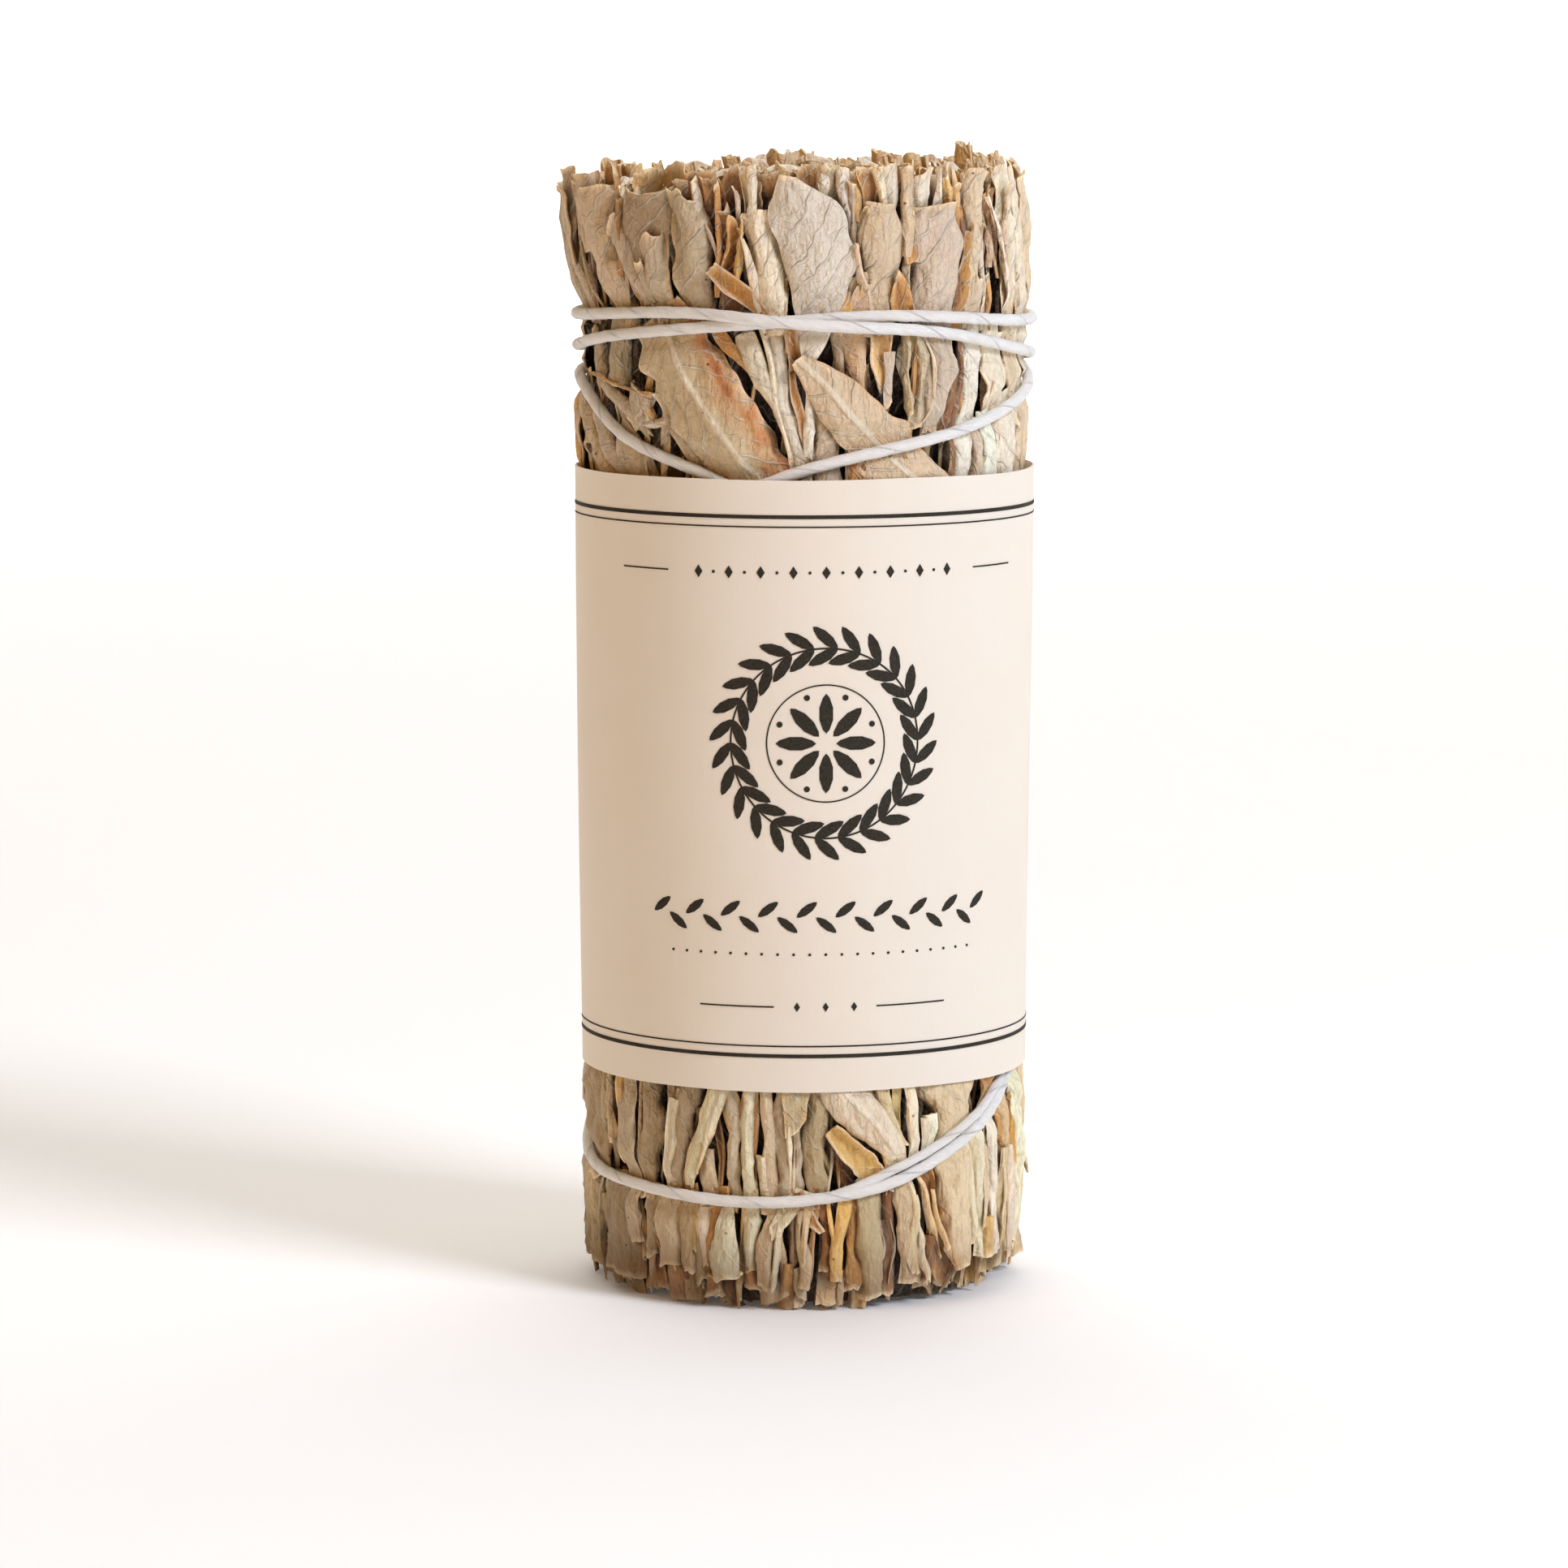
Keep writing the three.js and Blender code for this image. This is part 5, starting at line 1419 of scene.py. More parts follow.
        # Painted highlight near the end's top.
        lip = np.clip(1 - away / self.pale_edge, 0, 1) * draw.uniform(0.4, 1.0)
        tints = []
        for inner in (False, True):
            base = np.array(end.tone.value) * (1 + 0.08 * draw.normal(0, 1))
            base = mixed(base, INSIDE, 0.5) if inner else base
            base = mixed(mixed(base, GOLD, burnt), PAINTED_HIGHLIGHT, lip)
            tints.append(mixed(base, PAINTED_SHADE, dark))
        sheets.add(faces, uv, tints, end.top < start)


# ---- shader nodes


def arithmetic(operation: str, swapped: bool = False) -> Callable[["Field", Any], "Field"]:
    """An operator of a field, which adds a Math node."""

    def method(self: "Field", other: Any) -> "Field":
        """The node's result."""
        return self.nodes.maths(operation, *((other, self) if swapped else (self, other)))

    return method


class Field:
    """A value or colour that varies over a surface, with arithmetic on it."""

    def __init__(self, nodes: "Tree", socket: Socket) -> None:
        """Wraps an output socket of a tree."""
        self.nodes, self.socket = nodes, socket

    def apply(self, operation: str, *others: Any) -> "Field":
        """A Math node on this value and others."""
        return self.nodes.maths(operation, self, *others)

    __add__ = __radd__ = arithmetic("ADD")
    __mul__ = __rmul__ = arithmetic("MULTIPLY")
    __sub__, __rsub__ = arithmetic("SUBTRACT"), arithmetic("SUBTRACT", swapped=True)
    __truediv__ = arithmetic("DIVIDE")

    def __abs__(self) -> "Field":
        """The size without its sign."""
        return self.apply("ABSOLUTE")

    def step(self, low: float, high: float, to_low: float = 0.0, to_high: float = 1.0) -> "Field":
        """A smooth step from one result at low to another at high."""
        inputs = {"From_Min": low, "From_Max": high, "To_Min": to_low, "To_Max": to_high}
        settings = {"interpolation_type": "SMOOTHSTEP"}
        return self.nodes.add("MapRange", settings, Value=self, **inputs)


class Tree:
    """A node tree, built by one method."""

    PREFIX = "ShaderNode"

    def __init__(self, tree: bpy.types.NodeTree) -> None:
        """Takes an empty tree."""
        self.tree = tree

    def add(
        self, kind: str, settings: dict[str, Any] | None = None, output: int | str = 0, **inputs: Any
    ) -> Field:
        """Adds a node.

        Args:
            kind: The node's type, in full where it has another prefix than the tree's.
            settings: Its properties, set first.
            output: The socket that is wanted.
            inputs: Values, sockets or fields for its inputs; a name's spaces are underscores,
                and a trailing number picks one of several of that name.

        Returns:
            The wanted output.
        """
        node = self.tree.nodes.new(kind if "Node" in kind else self.PREFIX + kind)
        for key, value in (settings or {}).items():
            setattr(node, key, value)
        for key, value in inputs.items():
            name, _, number = key.partition("__")
            name = name.replace("_", " ").lower()
            found = [s for s in node.inputs if s.name.lower() == name and s.enabled]
            value = value.socket if isinstance(value, Field) else value
            if isinstance(value, Socket):
                self.tree.links.new(value, found[int(number or 0)])
            else:
                found[int(number or 0)].default_value = value
        return Field(self, node.outputs[output] if node.outputs else None)

    def maths(self, operation: str, *values: Any) -> Field:
        """A Math node on fields or numbers."""
        inputs = {f"Value__{k}": value for k, value in enumerate(values)}
        return self.add("ShaderNodeMath", {"operation": operation}, **inputs)

    def parts(self, where: Field) -> list[Field]:
        """The X, Y and Z of coordinates."""
        node = self.add("ShaderNodeSeparateXYZ", Vector=where).socket.node
        return [Field(self, output) for output in node.outputs]


class Shader(Tree):
    """A material's node tree."""

    def __init__(self, name: str) -> None:
        """Starts an empty material."""
        self.material = bpy.data.materials.new(name)
        self.material.use_nodes = True
        super().__init__(self.material.node_tree)
        self.tree.nodes.clear()

    def mix(self, share: Any, low: Any, high: Any, blend: str = "MIX") -> Field:
        """Mixes two colours.

        Args:
            share: How much of the second shows.
            low: The first, a field or a colour.
            high: The second.
            blend: How they are mixed.

        Returns:
            The mixed colour.
        """
        colours = [c if isinstance(c, Field) else (*c, 1.0) for c in (low, high)]
        settings = {"data_type": "RGBA", "blend_type": blend}
        return self.add("Mix", settings, 2, Factor=share, A=colours[0], B=colours[1])

    def place(self, scale: Sequence[float] = (1, 1, 1)) -> Field:
        """Object coordinates in millimetres, times a scale."""
        where = self.add("TexCoord", output="Object")
        size = tuple(1000 * s for s in scale)
        return self.add("VectorMath", {"operation": "MULTIPLY"}, Vector__0=where, Vector__1=size)

    def noise(self, where: Field, scale: float, detail: float = 3, rough: float = 0.55) -> Field:
        """Noise from 0 to 1 over coordinates in millimetres."""
        inputs = {"Vector": where, "Scale": scale, "Detail": detail, "Roughness": rough}
        return self.add("TexNoise", output="Fac", **inputs)

    def cells(self, feature: str, where: Field, scale: float, random: float = 1.0) -> Field:
        """Distance to the middle or the edge of scattered cells."""
        inputs = {"Vector": where, "Scale": scale, "Randomness": random}
        return self.add("TexVoronoi", {"feature": feature}, "Distance", **inputs)

    def bump(self, height: Field, strength: float, distance: float) -> Field:
        """A normal bent by a height in millimetres."""
        inputs = {"Height": height, "Strength": strength, "Distance": distance * MM}
        return self.add("Bump", output="Normal", **inputs)

    def finish(self, colour: Field, roughness: float, level: float, **more: Any) -> Material:
        """Ends the tree in a Principled shader.

        Args:
            colour: Its colour.
            roughness: Its roughness.
            level: How much it shines.
            more: Its other inputs; a name's spaces are underscores.

        Returns:
            The material.
        """
        inputs = {"Base_Color": colour, "Roughness": roughness, "Specular_IOR_Level": level}
        self.add("OutputMaterial", Surface=self.add("BsdfPrincipled", **inputs, **more))
        return self.material


@dataclass(frozen=True)
class LeafFinish:
    """Felted dried leaf, with veins, mottling and specks."""

    vein_gap: float = 0.24  # centimetres between side veins
    veins_from: tuple[float, float] = (9.0, 24.0)  # they fade between these heights
    roughness: float = 0.86

    def build(self) -> Material:
        """Builds the material."""
        nodes = Shader("dried_leaf")
        tint = nodes.add("VertexColor", {"layer_name": "tint"}, output="Color")
        blade = nodes.add("UVMap", {"uv_map": "blade"})
        across, along, _ = nodes.parts(blade)
        place = nodes.place()
        drift = nodes.noise(blade, 4.0, 2) - 0.5
        slant = along - abs(across) * 1.1 + drift * 0.24
        saw = abs((slant / self.vein_gap).apply("FRACT") - 0.5)
        broken = nodes.noise(blade, 3.0, 3).step(0.36, 0.54, 0.12, 1.0)
        side_veins = saw.step(0.0, 0.12, 1.0, 0.0) * broken
        midrib = abs(across + drift * 0.02).step(0.012, 0.045, 1.0, 0.0)
        net = nodes.cells("DISTANCE_TO_EDGE", blade, 11.0, 0.9)
        mesh = net.step(0.0, 0.09, 1.0, 0.0)
        level = nodes.parts(place)[2]
        veins = (side_veins * 0.9).apply("MAXIMUM", midrib).apply("MAXIMUM", mesh * 0.2)
        veins = veins * level.step(*self.veins_from, 0.25, 1.0)

        folds = abs(nodes.noise(nodes.place((1.0, 1.0, 0.3)), 0.8, 3, 0.5) - 0.5)
        broad = nodes.noise(place, 0.22, 4, 0.6)
        felt = nodes.noise(place, 3.2, 4, 0.7)
        grain = nodes.noise(nodes.place((1.0, 1.0, 0.12)), 2.2, 3)
        colour = nodes.mix(broad.step(0.35, 0.68) * 0.16, tint, linear(216, 192, 158))
        colour = nodes.mix(grain.step(0.55, 0.8) * 0.10, colour, linear(170, 128, 84))
        rust = nodes.noise(place, 0.5, 6, 0.7).step(0.60, 0.70) * 0.4
        colour = nodes.mix(rust, colour, linear(180, 122, 70))
        shade = felt.step(0.25, 0.75, 0.91, 1.05)
        grey = nodes.add("CombineColor", Red=shade, Green=shade, Blue=shade)
        colour = nodes.mix(1.0, colour, grey, "MULTIPLY")
        # Painted shade in the fold valleys that the bump sinks.
        colour = nodes.mix(folds.step(0.0, 0.05, 0.16, 0.0), colour, linear(150, 104, 62))
        bold = nodes.noise(place, 0.15, 2).step(0.4, 0.65, 0.6, 1.0)
        pale = nodes.mix(0.55, colour, linear(255, 246, 226))
        colour = nodes.mix(veins * bold, colour, pale)
        spots = nodes.cells("F1", place, 0.62)
        specks = spots.step(0.05, 0.11, 1.0, 0.0) * nodes.noise(place, 0.8, 1).step(0.5, 0.6)
        colour = nodes.mix(specks * 0.8, colour, linear(84, 54, 34))
        height = veins * 0.2 + felt * 0.03 + grain * 0.06 + nodes.noise(place, 1.1, 3) * 0.16
        height = height + folds.apply("MINIMUM", 0.2) * 1.1
        felted = {"Normal": nodes.bump(height, 0.9, 1.0), "Sheen_Weight": 0.12, "Sheen_Roughness": 0.6}
        return nodes.finish(colour, self.roughness, 0.25, **felted)


@dataclass(frozen=True)
class CottonFinish:
    """Plied white cotton, with fibres that follow the twist."""

    def build(self) -> Material:
        """Builds the material."""
        nodes = Shader("white_cotton")
        along, around = (
            nodes.add("Attribute", {"attribute_name": name}, output="Fac")
            for name in ("along", "around")
        )
        twisted = around * 6.2832
        ring = [twisted.apply(wave) * 1.6 for wave in ("COSINE", "SINE")]
        ring = nodes.add("CombineXYZ", X=ring[0], Y=ring[1], Z=along * 0.35)
        fibre = nodes.noise(ring, 4.0, 3, 0.6)
        broad = nodes.noise(nodes.place(), 0.25, 2)
        colour = nodes.mix(fibre.step(0.3, 0.7), linear(244, 240, 234), linear(255, 254, 251))
        colour = nodes.mix(broad.step(0.5, 0.75) * 0.3, colour, linear(240, 230, 214))
        normal = nodes.bump(fibre + nodes.noise(nodes.place(), 2.0, 2) * 0.4, 0.8, 0.14)
        fluffy = {"Normal": normal, "Sheen_Weight": 0.3, "Sheen_Roughness": 0.5}
        return nodes.finish(colour, 0.9, 0.2, **fluffy)


@dataclass(frozen=True)
class PaperFinish:
    """Uncoated cream paper."""

    colour: Colour = linear(244, 234, 219)

    def build(self) -> Material:
        """Builds the material."""
        nodes = Shader("cream_paper")
        place = nodes.place()
        cloud = nodes.noise(place, 0.06, 3)
        fibre = nodes.noise(nodes.place((1.0, 1.0, 0.35)), 3.0, 4, 0.7)
        colour = nodes.mix(cloud.step(0.35, 0.7) * 0.4, self.colour, linear(240, 228, 210))
        colour = nodes.mix(fibre.step(0.55, 0.8) * 0.2, colour, linear(230, 217, 200))
        return nodes.finish(colour, 0.8, 0.3, Normal=nodes.bump(fibre, 0.35, 0.05))


@dataclass(frozen=True)
class InkFinish:
    """Dark printed ink."""

    def build(self) -> Material:
        """Builds the material."""
        nodes = Shader("dark_ink")
        grain = nodes.noise(nodes.place(), 6.0, 3, 0.7)
        colour = nodes.mix(grain.step(0.3, 0.7), linear(38, 35, 28), linear(62, 56, 46))
        return nodes.finish(colour, 0.7, 0.2)


@dataclass(frozen=True)
class FloorFinish:
    """Pale plain floor."""

    def build(self) -> Material:
        """Builds the material."""
        nodes = Shader("pale_floor")
        cloud = nodes.noise(nodes.place(), 0.01, 2)
        colour = nodes.mix(cloud, linear(252, 251, 250), linear(250, 249, 249))
        own = {"Emission_Color": (1.0, 1.0, 1.0, 1.0), "Emission_Strength": 0.05}
        return nodes.finish(colour, 0.9, 0.1, **own)


# ---- geometry nodes


class Recipe(Tree):
    """A Geometry Nodes tree with named inputs, run once on a line."""

    PREFIX = "GeometryNode"

    def __init__(self, name: str, finish: Material, **inputs: float) -> None:
        """Starts a tree.

        Args:
            name: The tree's name.
            finish: What its mesh is dressed in.
            inputs: Value for each named input.
        """
        super().__init__(bpy.data.node_groups.new(name, "GeometryNodeTree"))
        face = self.tree.interface
        face.new_socket("Geometry", in_out="INPUT", socket_type="NodeSocketGeometry")
        self.values = {}
        kinds = {int: "Int", float: "Float", Material: "Material"}
        for key, value in (*inputs.items(), ("Finish", finish)):
            kind = f"NodeSocket{kinds[type(value)]}"
            socket = face.new_socket(key, in_out="INPUT", socket_type=kind)
            self.values[socket.identifier] = value
        face.new_socket("Geometry", in_out="OUTPUT", socket_type="NodeSocketGeometry")
        self.given = self.tree.nodes.new("NodeGroupInput").outputs
        self.end = self.tree.nodes.new("NodeGroupOutput")

    def store(self, geometry: Any, name: str, value: Any) -> Field:
        """Stores a value on the points of a geometry under a name."""
        settings = {"data_type": "FLOAT", "domain": "POINT"}
        inputs = {"Geometry": geometry, "Name": name, "Value": value}
        return self.add("StoreNamedAttribute", settings, **inputs)

    def run(self, geometry: Any, name: str, points: Iterable[Sequence[float]]) -> Mesh:
        """Ends the tree in realised instances with its finish, and runs it on a line.

        Args:
            geometry: The tree's last geometry.
            name: The mesh's name.
            points: The line's points in millimetres.

        Returns:
            The plain mesh.
        """
        real = self.add("RealizeInstances", Geometry=geometry)
        dressed = self.add("SetMaterial", Geometry=real, Material=self.given["Finish"])
        self.tree.links.new(dressed.socket, self.end.inputs[0])
        carrier = polyline(name, points)
        modifier = carrier.modifiers.new(self.tree.name, "NODES")
        modifier.node_group = self.tree
        for identifier, value in self.values.items():
            modifier[identifier] = value
        graph = bpy.context.evaluated_depsgraph_get()
        mesh = bpy.data.meshes.new_from_object(carrier.evaluated_get(graph), depsgraph=graph)
        mesh.name = name
        bpy.data.objects.remove(carrier)
        return mesh


def linked(name: str, data: Any) -> Piece:
    """A new object in the scene."""
    made = bpy.data.objects.new(name, data)
    bpy.context.scene.collection.objects.link(made)
    return made


def polyline(name: str, points: Iterable[Sequence[float]]) -> Piece:
    """An open curve through points in millimetres, linked to the scene."""
    walk = np.array(list(points)) * MM
    curve = bpy.data.curves.new(name, "CURVE")
    curve.dimensions = "3D"
    spline = curve.splines.new("POLY")
    spline.points.add(len(walk) - 1)
    spline.points.foreach_set("co", np.hstack([walk, np.ones((len(walk), 1))]).ravel())
    return linked(name, curve)


# ---- the thread


@dataclass
class WoundThread:
    """One length of plied cotton, wound from knot to knot."""

    route: ThreadRoute
    material: Material
    plies: int = 3
    lay_length: float = 7.5
    step: float = 0.5
    tail: float = 8.0
    fibres: int = 700
    # Where on the route a second strand parts, lies beside it, comes back and ends.
    doubled: tuple[float, float, float, float] = (1082.0, 1106.0, 1168.0, 1184.0)
    parting: float = 0.62
    sides: tuple[float, float] = (-0.8, 1.0)  # how far each strand gives way, as a share of it
    spacing: float = 1.2  # degrees between points of the route
    unevenness: float = 0.22
    lean_reach: tuple[float, float] = (3.1, 0.0005)  # how fibres turn, and shift in metres
    second_radius: float = 0.44
    tail_radius: float = 0.54
    knot_radius: float = 0.52
    lobes: float = 0.035  # how far the plies stand out, as a share of the radius

    def build(self) -> Piece:
        """Sweeps the plied thread, ties its knot, and adds loose fibres."""
        beside = np.arange(self.doubled[0], self.doubled[3], self.spacing)
        strands = [
            ("wound_thread", self._wound(self._along(), self.sides[0]), THREAD_RADIUS),
            ("second_strand", self._wound(beside, self.sides[1]), self.second_radius),
            *((f"thread_tail_{k}", tail, self.tail_radius) for k, tail in enumerate(self._tails())),
            *((f"knot_loop_{k}", loop, self.knot_radius) for k, loop in enumerate(self._knot())),
        ]
        parts = [*(self._swept(*strand) for strand in strands), self._fuzz()]
        mesh = joined("wound_cotton_thread", parts, ("along", "around"))
        mesh.shade_smooth()
        return place_piece(mesh, self.material, "cotton_thread", "thread")

    def _along(self) -> Array:
        """Places along the whole route."""
        return np.arange(self.route.turned[0], self.route.turned[-1], self.spacing)

    def _wound(self, turned: Array, side: float) -> Array:
        """Centre line over a stretch of the route.

        Args:
            turned: Places on the route.
            side: How far to the side the strand lies where the thread is doubled.

        Returns:
            Points.
        """
        start, full, last, end = self.doubled
        parted = smoothstep(turned, start, full) * (1 - smoothstep(turned, last, end))
        out, height = self.route.centre(turned)
        rise = np.gradient(height, turned * DEG * UNROLL)
        flat = 1 / np.sqrt(1 + rise**2)
        aside = side * self.parting * parted
        turn = turned * DEG - aside * rise * flat / UNROLL
        height = height + aside * flat
        return round_axis(out, turn, height)

    def _tails(self) -> list[Array]:
        """Centre lines of the two loose ends."""
        made = []
        for side in (-1, 1):
            share = np.linspace(0, 1, 14)
            angle = (self.route.KNOT[0] + side * (2 + 10 * share)) * DEG
            out = self.route.KNOT_OUT + 0.3 * share + 0.25 * np.sin(5 * share)
            drop = self.tail * share * (0.7 + 0.2 * side)
            made.append(round_axis(out, angle, self.route.KNOT[1] - drop))
        return made

    def _knot(self) -> list[Array]:
        """Two small turns that make the knot."""
        share = np.linspace(0, 2 * math.pi, 26)
        height = self.route.KNOT[1]
        out = self.route.KNOT_OUT
        made = []
        for lean, wide in ((0.5, 1.25), (-0.7, 1.05)):
            x = wide * np.cos(share)
            z = 0.75 * np.sin(share) + lean * x * 0.4
            y = out - 0.15 + 0.55 * np.sin(share + lean)
            made.append(np.stack([x, y, height + z], 1))
        return made

    def _swept(self, name: str, points: Array, radius: float) -> Mesh:
        """A plied thread along a centre line.

        Args:
            name: The mesh's name.
            points: The centre line in millimetres.
            radius: The thread's radius in millimetres.

        Returns:
            The mesh, with the place along and around stored on it.
        """
        recipe = Recipe(
            "plied_thread", self.material, Radius=radius * MM, Step=self.step * MM,
            Twist=2 * math.pi / (self.lay_length * MM), Unevenness=self.unevenness,
        )
        given = recipe.given
        even = recipe.add(
            "ResampleCurve", {"mode": "LENGTH"}, Curve=given["Geometry"], Length=given["Step"]
        )
        place = recipe.add("SplineParameter", output="Length")
        twist = place * given["Twist"]
        tilted = recipe.add("SetCurveTilt", Curve=even, Tilt=twist)
        noise = recipe.add("ShaderNodeTexNoise", Scale=420.0, Detail=1.0)
        swell = (noise - 0.5).apply("MULTIPLY_ADD", given["Unevenness"], 1.0)
        uneven = recipe.add("SetCurveRadius", Curve=tilted, Radius=swell)
        marked = recipe.store(uneven, "along", place * (1 / MM))

        circle = recipe.add(
            "CurvePrimitiveCircle", {"mode": "RADIUS"}, Resolution=16, Radius=given["Radius"]
        )
        around = recipe.add("SplineParameter", output="Factor")
        lobe = (around * (2 * math.pi * self.plies)).apply("COSINE")
        size = lobe.apply("MULTIPLY_ADD", self.lobes, 1 - self.lobes)
        where = recipe.add("InputPosition")
        scaled = recipe.add("ShaderNodeVectorMath", {"operation": "SCALE"}, Vector=where, Scale=size)
        ring = recipe.store(circle, "around", around)
        section = recipe.add("SetPosition", Geometry=ring, Position=scaled)
        solid = recipe.add("CurveToMesh", Curve=marked, Profile_Curve=section, Fill_Caps=True)
        return recipe.run(solid, name, points)

    def _fuzz(self) -> Mesh:
        """Short loose fibres that stand off the thread."""
        recipe = Recipe("loose_fibres", self.material, Count=self.fibres, Seed=5, Length=1.2 * MM)
        given = recipe.given
        spots = recipe.add(
            "ResampleCurve", {"mode": "COUNT"}, Curve=given["Geometry"], Count=given["Count"]
        )
        fibre = recipe.add(
            "MeshCone", Vertices=3, Side_Segments=1, Radius_Top=0.004 * MM,
            Radius_Bottom=0.016 * MM, Depth=given["Length"],
        )
        jitter, spread = (
            recipe.add(
                "FunctionNodeRandomValue", {"data_type": "FLOAT_VECTOR"},
                Min=(-most,) * 3, Max=(most,) * 3, Seed=given["Seed"],
            )
            for most in self.lean_reach
        )
        moved = recipe.add("SetPosition", Geometry=spots, Offset=spread)
        set_out = recipe.add("InstanceOnPoints", Points=moved, Instance=fibre, Rotation=jitter)
        return recipe.run(set_out, "thread_fibres", self._wound(self._along(), 0.0))


def joined(name: str, meshes: Sequence[Mesh], kept: Sequence[str] = ()) -> Mesh:
    """Several meshes as one.

    Args:
        name: The new mesh's name.
        meshes: The meshes, which are removed.
        kept: Names of values on the points that are carried over, zero where a mesh has none.

    Returns:
        The new mesh.
    """
    points, faces = [], []
    values = {key: [] for key in kept}
    for mesh in meshes:
        size = len(mesh.vertices)
        faces.extend(tuple(i + len(points) for i in part.vertices) for part in mesh.polygons)
        points.extend(tuple(vertex.co) for vertex in mesh.vertices)
        for key, found in values.items():
            column = np.zeros(size, np.float32)
            if key in mesh.attributes:
                mesh.attributes[key].data.foreach_get("value", column)
            found.append(column)
        bpy.data.meshes.remove(mesh)
    made = bpy.data.meshes.new(name)
    made.from_pydata(points, [], faces)
    for key, found in values.items():
        made.attributes.new(key, "FLOAT", "POINT").data.foreach_set("value", np.concatenate(found))
    return made


# ---- the paper band


@dataclass
class PaperBand:
    """The paper strip glued round the middle."""

    material: Material
    paper: float = 0.18
    flap: tuple[float, float] = (166.0, 186.0)
    give: float = 0.05  # how far it follows the leaves
    wavy: float = 0.07  # how uneven its cut edges are
    glue: float = 0.06
    lifted: float = 0.22  # how far the lap's free edge stands off
    inside: float = 0.04  # how far it lies within the band's radii

    def radius(self, angle: Array, height: Array) -> Array:
        """Outside of the strip, which follows the leaves a little."""
        share = (height - PAPER_EDGE[0]) / (PAPER_EDGE[1] - PAPER_EDGE[0])
        base = BAND_RADII[0] + (BAND_RADII[1] - BAND_RADII[0]) * share
        wave = Ripple(71, 26.0, 2.5, 5)(UNROLL * np.sin(angle * DEG), height + 0 * angle)
        return base + self.give * wave

    def build(self) -> None:
        """Makes the strip as one turn with a lap."""
        angles = np.linspace(self.flap[0] - 360, self.flap[1], 320)[None, :]
        heights = np.linspace(*PAPER_EDGE, 30)[:, None]
        edge = self.wavy * Ripple(72, 18.0, waves=4)(angles * 0.36, 0 * angles)
        half = (PAPER_EDGE[1] - PAPER_EDGE[0]) / 2
        near = np.clip(np.abs(heights - np.mean(PAPER_EDGE)) / half, 0, 1) ** 8
        heights = heights + edge * near
        lap = smoothstep(angles, self.flap[0] - 4, self.flap[0]) * (self.paper + self.glue)
        lifted = smoothstep(angles, self.flap[1] - 3, self.flap[1]) * self.lifted
        out = self.radius(angles, heights) - self.inside + lap + lifted
        turn = angles * DEG + 0 * out
        faces = [round_axis(reach, turn, heights) for reach in (out, out - self.paper)]
        uv = np.stack([angles * 0.036 + 0 * out, heights * 0.1 + 0 * out], -1)
        sheets = Sheets()
        tint = np.ones((*out.shape, 3))
        sheets.add(faces, uv, (tint, tint))
        place_piece(sheets.mesh("label_paper"), self.material, "label_paper", "paper_band")


class Motif(Enum):
    """Printed shapes, as their corners and how pointed they are."""

    LEAF = (10, 1.5)
    DOT = (12, 1.0)
    LOZENGE = (4, 1.0)


